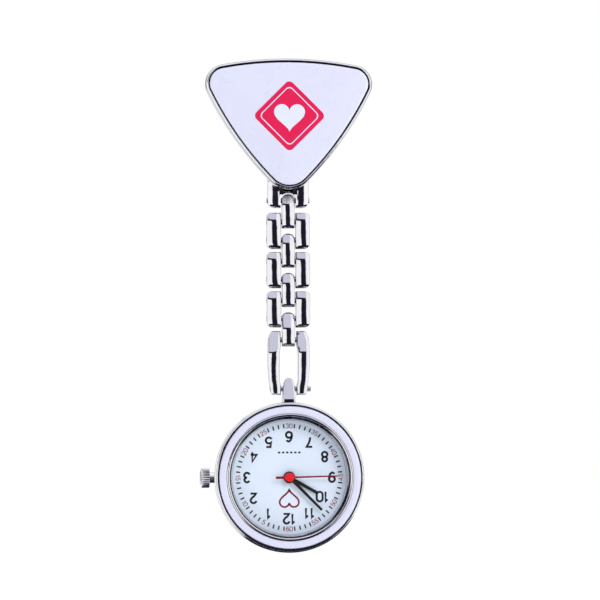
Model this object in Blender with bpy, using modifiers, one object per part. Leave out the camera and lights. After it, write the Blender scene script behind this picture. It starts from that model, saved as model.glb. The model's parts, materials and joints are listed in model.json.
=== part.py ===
"""Fob watch: a pin-on brooch, a hinged steel chain and a small quartz watch hanging upside down.

Drawing frame of every part: x across, y up, f towards the viewer, all in millimetres.
The brooch frame turns it into the world: x stays X, y becomes Z and f becomes -Y.
The origin is the middle of the closed brooch needle.
"""

import math

import bmesh
import bpy
from mathutils import Matrix, Vector

MM = 0.001

# Brooch badge: a triangle with bowed sides and round corners, standing on its point.
BADGE_TOP_CORNER = (12.02, 2.7, 3.68)
BADGE_TIP_CORNER = (0.0, -12.33, 4.82)
BADGE_SIDE_RADIUS = 64.0
BADGE_TOP_RADIUS = 67.4
BADGE_BACK = 2.4
BADGE_FRONT = 5.0
RIM_WIDTH = 0.6
ENAMEL_SEAT = 4.3

# Brooch pin on the back of the badge.
PIN_BAR = (21.0, 3.0, 1.77, 2.37)
NEEDLE_HINGE_X = -9.3
NEEDLE_RADIUS = 0.35
NEEDLE_LENGTH = 18.9
RIVET_RADIUS = 0.4
CATCH_SPAN = (8.2, 9.4)
SLEEVE_SPAN = (8.0, 10.4)

# Chain: heights of its nine pins, and the sizes of its straps.
CHAIN_F = 1.15
CHAIN_HALF_DEPTH = 1.15
PIN_HEIGHTS = (-18.99, -22.99, -26.38, -30.38, -33.76, -37.77, -41.15, -45.16, -54.33)
CHAIN_PIN_RADIUS = 0.48
OUTER_STRAP = (1.36, 4.08)
OUTER_OVERHANG = 1.7
CENTRE_HALF_WIDTH = 1.25
CENTRE_OVERHANG = 1.24
FORK_TOP, FORK_END, FORK_HALF_WIDTH = -13.65, -20.4, 3.85

# Watch case, seen from its dial centre.
WATCH_CENTRE_Y = -70.9
LUG_PIN_Y = PIN_HEIGHTS[-1] - WATCH_CENTRE_Y
LUG_TOP_Y = 18.6
CASE_RADIUS = 14.0
CASE_BORE = 12.3
CASE_BACK_F = -3.8
BEZEL_RADIUS = 13.72
CRYSTAL_RADIUS = 11.25
DIAL_RADIUS = 11.6
DIAL_BACK, DIAL_FACE = 0.5, 0.9
DIAL_HOLE = 0.95

# Crown, tube and stem share one axis behind the dial, pointing left.
CROWN_F = -0.9
CROWN_SPAN = (14.8, 16.6)
TUBE_RADIUS, TUBE_BORE = 1.0, 0.6
STEM_RADIUS = 0.45

# Movement plate.
MOVEMENT_SIZE = (15.3, 17.8, 4.0)
PLATE_BACK, PLATE_FLOOR_BACK, PLATE_FLOOR, PLATE_FRONT = -2.2, -0.65, -0.05, 0.45
BATTERY_CENTRE, BATTERY_RADIUS = (-2.6, 5.5), 3.4

# Going train: distance from the dial centre to the third arbor and to the intermediate arbor.
THIRD_DISTANCE, THIRD_ANGLE = 2.3, math.radians(20)
INTERMEDIATE_DISTANCE, INTERMEDIATE_ANGLE = 2.304, math.radians(-60)
ROTOR_DISTANCE, ROTOR_ANGLE = 1.89, math.radians(-74.66)
MOTION_MODULE = 0.108
MINUTE_WHEEL_DISTANCE, MINUTE_WHEEL_ANGLE = 2.16, math.radians(150)
SETTING_DISTANCE, SETTING_ANGLE = 2.484, math.radians(200.69)
ARBOR_RADIUS = 0.12

# Hands at rest, clockwise from straight up.
HOUR_ANGLE, MINUTE_ANGLE, SECOND_ANGLE = 118.9, 135.2, 88.55

ROUND_STEPS = 36


# ------------------------------------------------------------------ scene and solids


for stale in list(bpy.data.objects):
    bpy.data.objects.remove(stale)

parts = bpy.data.collections.new("fob_watch")
bpy.context.scene.collection.children.link(parts)


def helper(data):
    """Put a mesh or a curve in the scene for as long as its modifiers are needed."""
    obj = bpy.data.objects.new("helper", data)
    bpy.context.scene.collection.objects.link(obj)
    return obj


def solid_of(obj):
    """Take a helper's finished surface as a mesh with closed seams, and drop the helper."""
    depsgraph = bpy.context.evaluated_depsgraph_get()
    mesh = bpy.data.meshes.new_from_object(obj.evaluated_get(depsgraph))
    mesh.transform(obj.matrix_world)
    bpy.data.objects.remove(obj)
    shape = bmesh.new()
    shape.from_mesh(mesh)
    bmesh.ops.remove_doubles(shape, verts=shape.verts, dist=0.001)
    bmesh.ops.dissolve_degenerate(shape, edges=shape.edges, dist=0.001)
    bmesh.ops.recalc_face_normals(shape, faces=shape.faces)
    shape.to_mesh(mesh)
    shape.free()
    return mesh


def lathe(profile, steps=ROUND_STEPS):
    """Turn a (radius, height) profile about the z axis; it runs down its outer side."""
    mesh = bpy.data.meshes.new("profile")
    open_ended = profile[0][0] == 0 and profile[-1][0] == 0
    count = len(profile)
    edges = [(i, (i + 1) % count) for i in range(count - 1 if open_ended else count)]
    mesh.from_pydata([(r, 0.0, h) for r, h in profile], edges, [])
    obj = helper(mesh)
    screw = obj.modifiers.new("Turn", 'SCREW')
    screw.steps = screw.render_steps = steps
    screw.use_merge_vertices = True
    screw.merge_threshold = 0.0001
    return solid_of(obj)


def slab(outline, low, high, *holes):
    """Flat plate: an outline and any holes in x and y, raised from low to high along z."""
    curve = bpy.data.curves.new("outline", 'CURVE')
    curve.dimensions = '2D'
    curve.fill_mode = 'BOTH'
    curve.extrude = (high - low) / 2
    for loop in (outline, *holes):
        spline = curve.splines.new('POLY')
        spline.points.add(len(loop) - 1)
        for point, (x, y) in zip(spline.points, loop):
            point.co = (x, y, 0.0, 1.0)
        spline.use_cyclic_u = True
    obj = helper(curve)
    obj.location.z = (low + high) / 2
    bpy.context.view_layer.update()
    return solid_of(obj)


def rod(start, end, radius, sides=12):
    """Round bar between two points."""
    start, end = Vector(start), Vector(end)
    shape = bmesh.new()
    turn = (end - start).to_track_quat('Z', 'Y').to_matrix().to_4x4()
    place = Matrix.Translation((start + end) / 2) @ turn @ Matrix.Rotation(math.pi / sides, 4, 'Z')
    bmesh.ops.create_cone(shape, cap_ends=True, segments=sides, radius1=radius, radius2=radius,
                          depth=(end - start).length, matrix=place)
    mesh = bpy.data.meshes.new("rod")
    shape.to_mesh(mesh)
    shape.free()
    return mesh


def block(low, high):
    """Box between two opposite corners."""
    low, high = Vector(low), Vector(high)
    shape = bmesh.new()
    place = Matrix.Translation((low + high) / 2) @ Matrix.Diagonal((*(high - low), 1.0))
    bmesh.ops.create_cube(shape, size=1.0, matrix=place)
    mesh = bpy.data.meshes.new("block")
    shape.to_mesh(mesh)
    shape.free()
    return mesh


def combine(first, second, operation):
    """One exact Boolean between two closed meshes."""
    body, tool = helper(first), helper(second)
    boolean = body.modifiers.new("Combine", 'BOOLEAN')
    boolean.solver = 'EXACT'
    boolean.operation = operation
    boolean.object = tool
    mesh = solid_of(body)
    bpy.data.objects.remove(tool)
    return mesh


def fused(first, *others):
    for other in others:
        first = combine(first, other, 'UNION')
    return first


def cut(first, *tools):
    for tool in tools:
        first = combine(first, tool, 'DIFFERENCE')
    return first


def softened(mesh, width, segments=1, angle=50):
    """Round every edge sharper than the angle."""
    obj = helper(mesh)
    bevel = obj.modifiers.new("Soften", 'BEVEL')
    bevel.width = width
    bevel.segments = segments
    bevel.limit_method = 'ANGLE'
    bevel.angle_limit = math.radians(angle)
    return solid_of(obj)


def moved(mesh, x=0.0, y=0.0, f=0.0):
    mesh.transform(Matrix.Translation((x, y, f)))
    return mesh


def spun(mesh, clockwise):
    """Turn about the viewing axis, clockwise for the viewer."""
    mesh.transform(Matrix.Rotation(-math.radians(clockwise), 4, 'Z'))
    return mesh


def pointing_left(mesh):
    """Lay a shape that was built up z along -x."""
    mesh.transform(Matrix.Rotation(math.radians(-90), 4, 'Y'))
    return mesh


def pointing_right(mesh):
    mesh.transform(Matrix.Rotation(math.radians(90), 4, 'Y'))
    return mesh


def pointing_up(mesh):
    """Lay a shape that was built up z along y; its own y ends up pointing backwards."""
    mesh.transform(Matrix.Rotation(math.radians(-90), 4, 'X'))
    return mesh


# ------------------------------------------------------------------ outlines


def circle(radius, sides=24, x=0.0, y=0.0):
    steps = [2 * math.pi * i / sides for i in range(sides)]
    return [(x + radius * math.cos(a), y + radius * math.sin(a)) for a in steps]


def rounded_box(low, high, radii, steps=3):
    """Rectangle with its own radius at each corner, from lower left anticlockwise."""
    (x0, y0), (x1, y1) = low, high
    corners = ((x0, y0, 1, 1, 180), (x1, y0, -1, 1, 270), (x1, y1, -1, -1, 0), (x0, y1, 1, -1, 90))
    points = []
    for (x, y, in_x, in_y, first), radius in zip(corners, radii):
        if radius == 0:
            points.append((x, y))
            continue
        for i in range(steps + 1):
            a = math.radians(first + 90 * i / steps)
            points.append((x + in_x * radius + radius * math.cos(a),
                           y + in_y * radius + radius * math.sin(a)))
    return points


def left_meeting_point(p, p_radius, q, q_radius):
    """Where two circles cross, on the left of the way from p to q."""
    span = q - p
    along = (p_radius ** 2 - q_radius ** 2 + span.length ** 2) / (2 * span.length)
    across = math.sqrt(p_radius ** 2 - along ** 2)
    unit = span.normalized()
    return p + unit * along + Vector((-unit.y, unit.x)) * across


def badge_outline(inset=0.0, corner_steps=6, side_steps=5):
    """Three corner arcs joined by three wide arcs that run into them without a kink."""
    x, y, radius = BADGE_TOP_CORNER
    tip = Vector(BADGE_TIP_CORNER[:2])
    corners = [(tip, BADGE_TIP_CORNER[2]), (Vector((x, y)), radius), (Vector((-x, y)), radius)]
    bows = (BADGE_SIDE_RADIUS, BADGE_TOP_RADIUS, BADGE_SIDE_RADIUS)
    centres = []
    for i, bow in enumerate(bows):
        (p, p_radius), (q, q_radius) = corners[i], corners[(i + 1) % 3]
        centres.append(left_meeting_point(p, bow - p_radius, q, bow - q_radius))
    points = []
    for i, (corner, radius) in enumerate(corners):
        into, out_of = corner - centres[i - 1], corner - centres[i]
        first = math.atan2(into.y, into.x)
        last = math.atan2(out_of.y, out_of.x)
        last += 2 * math.pi if last < first else 0
        for k in range(corner_steps + 1):
            a = first + (last - first) * k / corner_steps
            arm = Vector((math.cos(a), math.sin(a))) * (radius - inset)
            points.append(tuple(corner + arm))
        ahead = corners[(i + 1) % 3][0] - centres[i]
        finish = math.atan2(ahead.y, ahead.x)
        finish += 2 * math.pi if finish < last - math.pi else 0
        for k in range(1, side_steps):
            a = last + (finish - last) * k / side_steps
            arm = Vector((math.cos(a), math.sin(a))) * (bows[i] - inset)
            points.append(tuple(centres[i] + arm))
    return points


def gear_outline(teeth, module, phase=0.0):
    """Straight-sided teeth, flat-topped on pinions and pointed on wheels of thirty and more.

    One tooth is centred on the phase angle.
    """
    pitch, pace = teeth * module / 2, 2 * math.pi / teeth
    root, tip = pitch - module, pitch + 0.85 * module
    flat = ((root, -0.34), (tip, -0.13), (tip, 0.13), (root, 0.34))
    pointed = ((root, -0.32), (tip, 0.0), (root, 0.32))
    points = []
    for i in range(teeth):
        for radius, share in pointed if teeth >= 30 else flat:
            a = phase + pace * (i + share)
            points.append((radius * math.cos(a), radius * math.sin(a)))
    return points


def meshing_phase(phase, teeth, direction, other_teeth):
    """Phase that sets a gap of the other gear on the tooth this gear points at it."""
    pace = 2 * math.pi / teeth
    offset = ((direction - phase) / pace) % 1.0
    return direction + math.pi + (offset + 0.5) * 2 * math.pi / other_teeth


def polar(distance, angle, origin=(0.0, 0.0)):
    return (origin[0] + distance * math.cos(angle), origin[1] + distance * math.sin(angle))


def hand_outline(length, root_width, tip_width, hub, tail=0.0, tail_width=0.0):
    """Straight hand pointing up y, with a round hub and, if asked for, a counterweight tail."""
    lift = math.asin(root_width / 2 / hub)
    points = [(tip_width / 2, length), (-tip_width / 2, length)]
    last = math.pi / 2 - lift
    first = -3 * math.pi / 2 + lift
    angles = [first + (last - first) * i / 20 for i in range(21)]
    sweep = [a for a in angles if not tail or abs(a + math.pi / 2) > tail_width / 2 / hub + 0.1]
    for a in sweep:
        if tail and a > -math.pi / 2 and points[-1][0] < 0:
            drop = math.asin(tail_width / 2 / hub)
            points.append((-tail_width / 2, -hub * math.cos(drop)))
            points.append((-tail_width / 2, -tail))
            points.append((tail_width / 2, -tail))
            points.append((tail_width / 2, -hub * math.cos(drop)))
        points.append((hub * math.cos(a), hub * math.sin(a)))
    return points


# ------------------------------------------------------------------ materials and nodes


FINISHES = {
    "bright_steel": ((0.80, 0.80, 0.82), 1.0, 0.12),
    "brushed_steel": ((0.62, 0.62, 0.64), 1.0, 0.35),
    "dark_steel": ((0.30, 0.30, 0.32), 1.0, 0.40),
    "brass": ((0.80, 0.60, 0.28), 1.0, 0.30),
    "copper_wire": ((0.72, 0.35, 0.18), 1.0, 0.40),
    "soft_iron": ((0.45, 0.45, 0.47), 1.0, 0.45),
    "pale_enamel": ((0.78, 0.79, 0.93), 0.0, 0.08),
    "clear_crystal": ((0.92, 0.95, 0.97), 0.0, 0.03),
    "dial_paint": ((0.80, 0.86, 0.95), 0.0, 0.35),
    "black_paint": ((0.01, 0.01, 0.012), 0.0, 0.30),
    "red_paint": ((0.55, 0.01, 0.01), 0.0, 0.30),
    "white_plastic": ((0.75, 0.75, 0.72), 0.0, 0.50),
    "board_green": ((0.02, 0.18, 0.08), 0.0, 0.50),
    "magnet": ((0.15, 0.15, 0.17), 1.0, 0.50),
}


def frame(name, above, x=0.0, y=0.0, f=0.0):
    """Empty on a joint axis or a part centre, placed in the frame above it."""
    empty = bpy.data.objects.new(name, None)
    empty.empty_display_size = 2 * MM
    empty.location = (x * MM, y * MM, f * MM)
    empty.parent = above
    parts.objects.link(empty)
    return empty


def node(name, mesh, finish, above, x=0.0, y=0.0, f=0.0):
    """One physical piece: its mesh in metres, its own material, its place in its frame."""
    mesh.transform(Matrix.Scale(MM, 4))
    mesh.name = name
    mesh.shade_smooth()
    mesh.set_sharp_from_angle(angle=math.radians(35))
    colour, metallic, roughness = FINISHES[finish]
    material = bpy.data.materials.new(name + "_" + finish)
    material.use_nodes = True
    shader = material.node_tree.nodes["Principled BSDF"]
    shader.inputs["Base Color"].default_value = (*colour, 1.0)
    shader.inputs["Metallic"].default_value = metallic
    shader.inputs["Roughness"].default_value = roughness
    material.diffuse_color = (*colour, 1.0)
    mesh.materials.clear()
    mesh.materials.append(material)
    obj = bpy.data.objects.new(name, mesh)
    obj.location = (x * MM, y * MM, f * MM)
    obj.parent = above
    parts.objects.link(obj)
    return obj


# ------------------------------------------------------------------ brooch


brooch = frame("brooch_frame", None)
brooch.rotation_euler = (math.radians(90), 0.0, 0.0)

tray = softened(slab(badge_outline(), BADGE_BACK, BADGE_FRONT), 0.3)
tray = cut(tray, slab(badge_outline(RIM_WIDTH), ENAMEL_SEAT, BADGE_FRONT + 1))
node("brooch_tray", tray, "bright_steel", brooch)

enamel = softened(slab(badge_outline(RIM_WIDTH + 0.03), ENAMEL_SEAT + 0.03, 5.15), 0.15)
node("brooch_enamel", enamel, "pale_enamel", brooch)


def hinge_ear(low):
    """Upright ear on the bar, round about the rivet, drawn in x and minus f."""
    outline = rounded_box((-0.8, -PIN_BAR[3] + 0.2), (0.8, 0.8), (0, 0, 0.79, 0.79))
    ear = pointing_up(slab(outline, low, low + 0.4))
    return moved(ear, NEEDLE_HINGE_X)


half_length, half_height = PIN_BAR[0] / 2, PIN_BAR[1] / 2
bar_outline = rounded_box((-half_length, -half_height), (half_length, half_height), (1.0,) * 4)
bar = slab(bar_outline, PIN_BAR[2], PIN_BAR[3])
bar = fused(bar, hinge_ear(0.75), hinge_ear(-1.15))
bar = cut(bar, rod((NEEDLE_HINGE_X, -2, 0), (NEEDLE_HINGE_X, 2, 0), RIVET_RADIUS + 0.03))
node("pin_bar", bar, "brushed_steel", brooch)

rivet = lathe([(0, 1.45), (0.45, 1.4), (0.62, 1.18), (RIVET_RADIUS, 1.18), (RIVET_RADIUS, -1.18),
               (0.62, -1.18), (0.45, -1.4), (0, -1.45)], 12)
rivet = pointing_up(rivet)
rivet.transform(Matrix.Rotation(math.pi / 12, 4, 'Y'))
node("needle_rivet", rivet, "bright_steel", brooch, NEEDLE_HINGE_X)

shell = pointing_right(lathe([(1.5, CATCH_SPAN[1]), (1.5, CATCH_SPAN[0]), (1.05, CATCH_SPAN[0]),
                              (1.05, CATCH_SPAN[1])], 24))
foot = block((CATCH_SPAN[0], -0.9, 1.25), (CATCH_SPAN[1], 0.9, PIN_BAR[2] - 0.03))
shell = fused(shell, foot)
shell = cut(shell, block((7.5, -0.55, -3), (10, 0.55, 0)))
node("catch_shell", shell, "brushed_steel", brooch)

strap_outline = rounded_box((-FORK_HALF_WIDTH, FORK_END), (FORK_HALF_WIDTH, FORK_TOP), (0.8,) * 4)
fork = softened(slab(strap_outline, CHAIN_F - 1.1, CHAIN_F + 1.18), 0.25)
slot = rounded_box((-1.45, FORK_END - 1), (1.45, -17.6), (0, 0, 1.1, 1.1), 4)
fork = cut(fork, slab(slot, -1, 4))
fork = cut(fork, rod((-5, PIN_HEIGHTS[0], CHAIN_F), (5, PIN_HEIGHTS[0], CHAIN_F),
                     CHAIN_PIN_RADIUS + 0.03))
node("chain_fork", fork, "bright_steel", brooch)


def chain_pin(name, above, y, low, high):
    """Plain pin lying across the chain."""
    return node(name, rod((low, 0, 0), (high, 0, 0), CHAIN_PIN_RADIUS), "brushed_steel", above, 0, y)


fork_axis = frame("fork_pin_axis", brooch, 0, PIN_HEIGHTS[0], CHAIN_F)
chain_pin("fork_pin", fork_axis, 0, -4.05, 4.05)

needle_hinge = frame("needle_hinge", brooch, NEEDLE_HINGE_X)
eye = rod((0, -0.7, 0), (0, 0.7, 0), 0.85, 16)
shaft = pointing_right(lathe([(0, NEEDLE_LENGTH), (NEEDLE_RADIUS, NEEDLE_LENGTH - 2.2),
                              (NEEDLE_RADIUS, 0.4), (0, 0.4)], 12))
needle = cut(fused(eye, shaft), rod((0, -2, 0), (0, 2, 0), RIVET_RADIUS + 0.05))
node("needle", needle, "bright_steel", needle_hinge)

catch_axis = frame("catch_axis", brooch)
sleeve = pointing_right(lathe([(1.0, SLEEVE_SPAN[1]), (1.0, 9.85), (1.4, 9.85), (1.4, 9.5), (1.0, 9.5),
                               (1.0, SLEEVE_SPAN[0]), (0.58, SLEEVE_SPAN[0]),
                               (0.58, SLEEVE_SPAN[1])], 24))
sleeve = fused(sleeve, block((9.5, 0.8, -0.3), (10.2, 2.6, 0.3)))
sleeve = cut(sleeve, block((7.5, -0.5, -3), (11, 0.5, 0)))
node("catch_sleeve", sleeve, "bright_steel", catch_axis)


# ------------------------------------------------------------------ chain


def pin_hole(y):
    return rod((-6, y, 0), (6, y, 0), CHAIN_PIN_RADIUS + 0.04)


def strap(front, side_low, side_high, side_radius):
    """Chain strap: a front outline through the chain's depth, rounded off along its side view."""
    body = softened(slab(front, -CHAIN_HALF_DEPTH, CHAIN_HALF_DEPTH), 0.35)
    side = rounded_box((-CHAIN_HALF_DEPTH, side_low), (CHAIN_HALF_DEPTH, side_high),
                       (side_radius,) * 4)
    return combine(body, pointing_left(slab(side, -6, 6)), 'INTERSECT')


def outer_strap(pitch, sign):
    low, high = -pitch - OUTER_OVERHANG, OUTER_OVERHANG
    inner, outer = OUTER_STRAP
    if sign > 0:
        front = rounded_box((inner, low), (outer, high), (0, 0.8, 0.8, 0))
    else:
        front = rounded_box((-outer, low), (-inner, high), (0.8, 0, 0, 0.8))
    return cut(strap(front, low, high, 0.5), pin_hole(0), pin_hole(-pitch))


def centre_strap(pitch):
    low, high, half = -pitch - CENTRE_OVERHANG, CENTRE_OVERHANG, CENTRE_HALF_WIDTH
    front = rounded_box((-half, low), (half, high), (0.15, 0.15, 1.1, 1.1))
    return cut(strap(front, low, high, 1.1), pin_hole(0), pin_hole(-pitch))


def end_strap(pitch, sign):
    """Long leg of the end link: its front falls back towards the top, its foot is drawn in."""
    top, foot = 1.66, -pitch - 1.17
    front = [(1.5, top), (1.5, -1.25), (1.75, -1.95), (1.75, foot + 3.0), (1.5, foot + 1.6),
             (1.5, foot), (3.05, foot), (3.35, foot + 0.4), (3.75, foot + 3.0), (3.95, foot + 6.0),
             (3.88, -0.5), (3.6, top - 0.8), (3.15, top)]
    if sign < 0:
        front = [(-x, y) for x, y in reversed(front)]
    side = [(-1.15, foot + 0.4), (-0.8, foot), (0.8, foot), (1.15, foot + 0.4), (1.42, -2.45),
            (0.75, 1.2), (0.4, top), (-0.8, top), (-1.15, top - 0.4)]
    body = softened(slab(front, -CHAIN_HALF_DEPTH, 1.45), 0.35)
    leg = combine(body, pointing_left(slab(side, -6, 6)), 'INTERSECT')
    return cut(leg, pin_hole(0), pin_hole(-pitch))


pitches = [upper - lower for upper, lower in zip(PIN_HEIGHTS, PIN_HEIGHTS[1:])]
axis = fork_axis
for number in (1, 2, 3):
    centre_pitch, outer_pitch = pitches[2 * number - 2], pitches[2 * number - 1]
    hinge = frame(f"centre_link_{number}_hinge", axis, 0, 0 if number == 1 else -pitches[2 * number - 3])
    node(f"centre_link_{number}", centre_strap(centre_pitch), "bright_steel", hinge)
    axis = frame(f"outer_link_{number}_hinge", hinge, 0, -centre_pitch)
    node(f"outer_link_{number}_left", outer_strap(outer_pitch, -1), "bright_steel", axis)
    node(f"outer_link_{number}_right", outer_strap(outer_pitch, 1), "bright_steel", axis)
    chain_pin(f"link_pin_{number}a", axis, 0, -4.0, 4.0)
    chain_pin(f"link_pin_{number}b", axis, -outer_pitch, -4.0, 4.0)

hinge = frame("centre_link_4_hinge", axis, 0, -pitches[5])
node("centre_link_4", centre_strap(pitches[6]), "bright_steel", hinge)
axis = frame("end_link_hinge", hinge, 0, -pitches[6])
node("end_link_left", end_strap(pitches[7], -1), "bright_steel", axis)
node("end_link_right", end_strap(pitches[7], 1), "bright_steel", axis)
chain_pin("end_link_pin", axis, 0, -3.8, 3.8)
chain_pin("lug_bar", axis, -pitches[7], -3.3, 4.15)


# ------------------------------------------------------------------ watch case


watch_hinge = frame("watch_hinge", axis, 0, -pitches[7])
watch = frame("dial_centre", watch_hinge, 0, -LUG_PIN_Y)
crown_axis = frame("crown_axis", watch, 0, 0, CROWN_F)

case = lathe([(13.72, 1.88), (CASE_RADIUS, 1.4), (CASE_RADIUS, -2.4), (13.25, -3.7), (13.0, -3.7),
              (13.0, -3.06), (CASE_BORE, -3.06), (CASE_BORE, 1.88)])
lug_front = [(-1.15, 13.2), (1.15, 13.2), (1.0, 15.2), (0.88, 17.6), (0.68, 18.25), (0.3, LUG_TOP_Y),
             (-0.3, LUG_TOP_Y), (-0.68, 18.25), (-0.88, 17.6), (-1.0, 15.2)]
lug_side = [(-1.15, 13.0), (1.7, 13.0), (1.7, 14.1), (1.0, 17.6), (0.75, 18.3), (0.3, LUG_TOP_Y),
            (-0.4, LUG_TOP_Y), (-0.9, 18.35), (-1.15, 17.8)]
lug = combine(slab(lug_front, -2, 2), pointing_left(slab(lug_side, -3, 3)), 'INTERSECT')
case = fused(case, lug)
case = cut(case, rod((-3, LUG_PIN_Y, 0), (3, LUG_PIN_Y, 0), CHAIN_PIN_RADIUS + 0.05),
           rod((-16, 0, CROWN_F), (-11, 0, CROWN_F), TUBE_RADIUS + 0.03, 20))
node("watch_case", case, "bright_steel", watch)

bezel = lathe([(13.4, 3.62), (13.6, 3.62), (BEZEL_RADIUS, 3.45), (BEZEL_RADIUS, 1.92),
               (12.25, 1.92), (12.25, 1.2), (11.95, 1.2), (11.95, 2.45), (10.9, 2.45), (10.9, 2.65),
               (11.3, 2.65), (11.3, 3.6), (11.45, 3.72), (11.7, 3.72), (11.85, 3.6), (11.85, 3.2),
               (13.35, 3.2), (13.35, 3.57)])
node("bezel", bezel, "bright_steel", watch)

ring = lathe([(13.2, 3.56), (13.32, 3.45), (13.32, 3.23), (11.88, 3.23), (11.88, 3.5), (12.0, 3.6)])
node("bezel_enamel", ring, "pale_enamel", watch)

crystal = lathe([(0, 3.8), (7.0, 3.76), (10.9, 3.65), (CRYSTAL_RADIUS, 3.5), (CRYSTAL_RADIUS, 2.68),
                 (0, 2.68)])
node("crystal", crystal, "clear_crystal", watch)

rehaut = lathe([(10.88, 2.4), (11.9, 2.4), (11.9, 0.95), (10.6, 0.95), (10.6, 1.1)])
node("rehaut_ring", rehaut, "dark_steel", watch)

dial = slab(circle(DIAL_RADIUS, ROUND_STEPS), DIAL_BACK, DIAL_FACE, circle(DIAL_HOLE, 16))
node("dial", dial, "dial_paint", watch)

width, height, corner = MOVEMENT_SIZE
gap = 0.05
bay = rounded_box((-width / 2 - gap, -height / 2 - gap), (width / 2 + gap, height / 2 + gap),
                  (corner,) * 4, 5)
ring = slab(circle(12.15, ROUND_STEPS), -2.4, PLATE_FRONT, bay)
ring = cut(ring, rod((-13, 0, CROWN_F), (-6, 0, CROWN_F), 0.62))
node("movement_ring", ring, "white_plastic", watch)

back = lathe([(0, -3.05), (11.6, -3.05), (11.6, -2.5), (12.2, -2.5), (12.2, -3.1), (12.95, -3.1),
              (12.95, -3.6), (12.75, CASE_BACK_F), (0, CASE_BACK_F)])
node("case_back", back, "brushed_steel", watch)

tube = pointing_left(lathe([(TUBE_RADIUS, 15.5), (TUBE_RADIUS, 12.4), (TUBE_BORE, 12.4),
                            (TUBE_BORE, 15.5)], 20))
tube.transform(Matrix.Rotation(math.pi / 20, 4, 'X'))
node("crown_tube", tube, "brushed_steel", crown_axis)


# ------------------------------------------------------------------ movement


third = polar(THIRD_DISTANCE, THIRD_ANGLE)
intermediate = polar(INTERMEDIATE_DISTANCE, INTERMEDIATE_ANGLE)
rotor_at = polar(ROTOR_DISTANCE, ROTOR_ANGLE, intermediate)
minute_at = polar(MINUTE_WHEEL_DISTANCE, MINUTE_WHEEL_ANGLE)
setting_at = polar(SETTING_DISTANCE, SETTING_ANGLE, minute_at)


def upright(x, y, low, high, radius, sides=12):
    return rod((x, y, low), (x, y, high), radius, sides)


outline = rounded_box((-width / 2, -height / 2), (width / 2, height / 2), (corner,) * 4, 5)
hollow = rounded_box((-width / 2 + 0.6, -height / 2 + 0.6), (width / 2 - 0.6, height / 2 - 0.6),
                     (corner - 0.6,) * 4, 5)
plate = slab(outline, PLATE_BACK, PLATE_FRONT)
plate = cut(plate, slab(hollow, PLATE_BACK - 1, PLATE_FLOOR_BACK))
plate = cut(plate, upright(*BATTERY_CENTRE, PLATE_BACK - 1, PLATE_FLOOR_BACK, BATTERY_RADIUS + 0.07, 40))
for place, radius in (((0, 0), 2.1), (minute_at, 1.95), (setting_at, 1.15)):
    plate = cut(plate, upright(*place, PLATE_FLOOR, PLATE_FRONT + 1, radius, 24))
plate = cut(plate, upright(0, 0, -2, 2, 0.5, 16), upright(*third, -2, -0.3, 0.17),
            upright(*intermediate, -2, -0.3, 0.17), upright(*rotor_at, -2, -0.3, 0.17))
plate = cut(plate, rod((-9, 0, CROWN_F), (-3.4, 0, CROWN_F), 0.55))
plate = cut(plate, block((-5.8, -0.85, -3), (-4.45, 0.85, 0.0)))
plate = fused(plate, upright(*minute_at, PLATE_FLOOR - 0.2, 0.44, 0.17),
              upright(*setting_at, PLATE_FLOOR - 0.2, 0.3, 0.17))
node("main_plate", plate, "brass", watch)

bridge = slab(rounded_box((-3.2, -4.9), (4.6, 1.8), (0.8,) * 4), -2.6, -2.2)
for place in ((-2.6, 1.2), (4.1, -1.6), (-2.4, -1.9)):
    bridge = fused(bridge, upright(*place, -2.3, PLATE_FLOOR_BACK - 0.03, 0.45))
for place in ((0, 0), third, intermediate, rotor_at):
    bridge = cut(bridge, upright(*place, -3, -2, 0.17))
node("train_bridge", bridge, "brass", watch)

stator = slab(rounded_box((-4.6, -7.2), (4.6, -2.7), (0.3,) * 4, 2), -1.45, -1.05,
              rounded_box((-3.5, -7.0), (3.5, -5.05), (0,) * 4), circle(0.85, 20, *rotor_at))
stator = cut(stator, block((-3.5, -8, -2), (3.5, -6.9, 0)))
node("stator", stator, "soft_iron", watch)

winding = rod((-3.2, -6.35, -1.5), (3.2, -6.35, -1.5), 0.8, 16)
coil = fused(winding, block((-4.4, -6.8, -1.85), (4.4, -5.9, -1.5)))
node("coil", coil, "copper_wire", watch)

board_outline = [(-6.7, -5.0), (-5.0, -7.6), (5.0, -7.6), (6.7, -5.0), (6.7, 0.9), (4.8, 0.9),
                 (4.8, -5.1), (-3.5, -5.1), (-3.5, -1.0), (-6.7, -1.0)]
board = slab(board_outline, -2.6, -2.35)
board = fused(board, rod((5.75, -4.6, -1.68), (5.75, 0.6, -1.68), 0.7, 12),
              block((-6.3, -4.3, -2.4), (-4.75, -2.4, -1.7)))
node("circuit_board", board, "board_green", watch)

battery = lathe([(0, -0.72), (2.9, -0.72), (3.0, -0.95), (BATTERY_RADIUS, -1.05),
                 (BATTERY_RADIUS, -2.7), (3.3, -2.8), (0, -2.8)], 32)
node("battery", battery, "bright_steel", watch, *BATTERY_CENTRE)

strip = slab(rounded_box((-4.3, -0.8), (4.3, 0.8), (0.4,) * 4, 2), -2.99, -2.84)
node("battery_strap", spun(strip, 20), "brushed_steel", watch, *BATTERY_CENTRE)


def wheel_and_pinion(wheel, pinion, arbor, phases=(0.0, 0.0)):
    """Toothed wheel and pinion, each (teeth, module, low, high), on an arbor (low, high)."""
    solid = slab(gear_outline(*wheel[:2], phases[0]), *wheel[2:])
    solid = fused(solid, slab(gear_outline(*pinion[:2], phases[1]), *pinion[2:]))
    return fused(solid, upright(0, 0, *arbor, ARBOR_RADIUS, 10))


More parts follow.
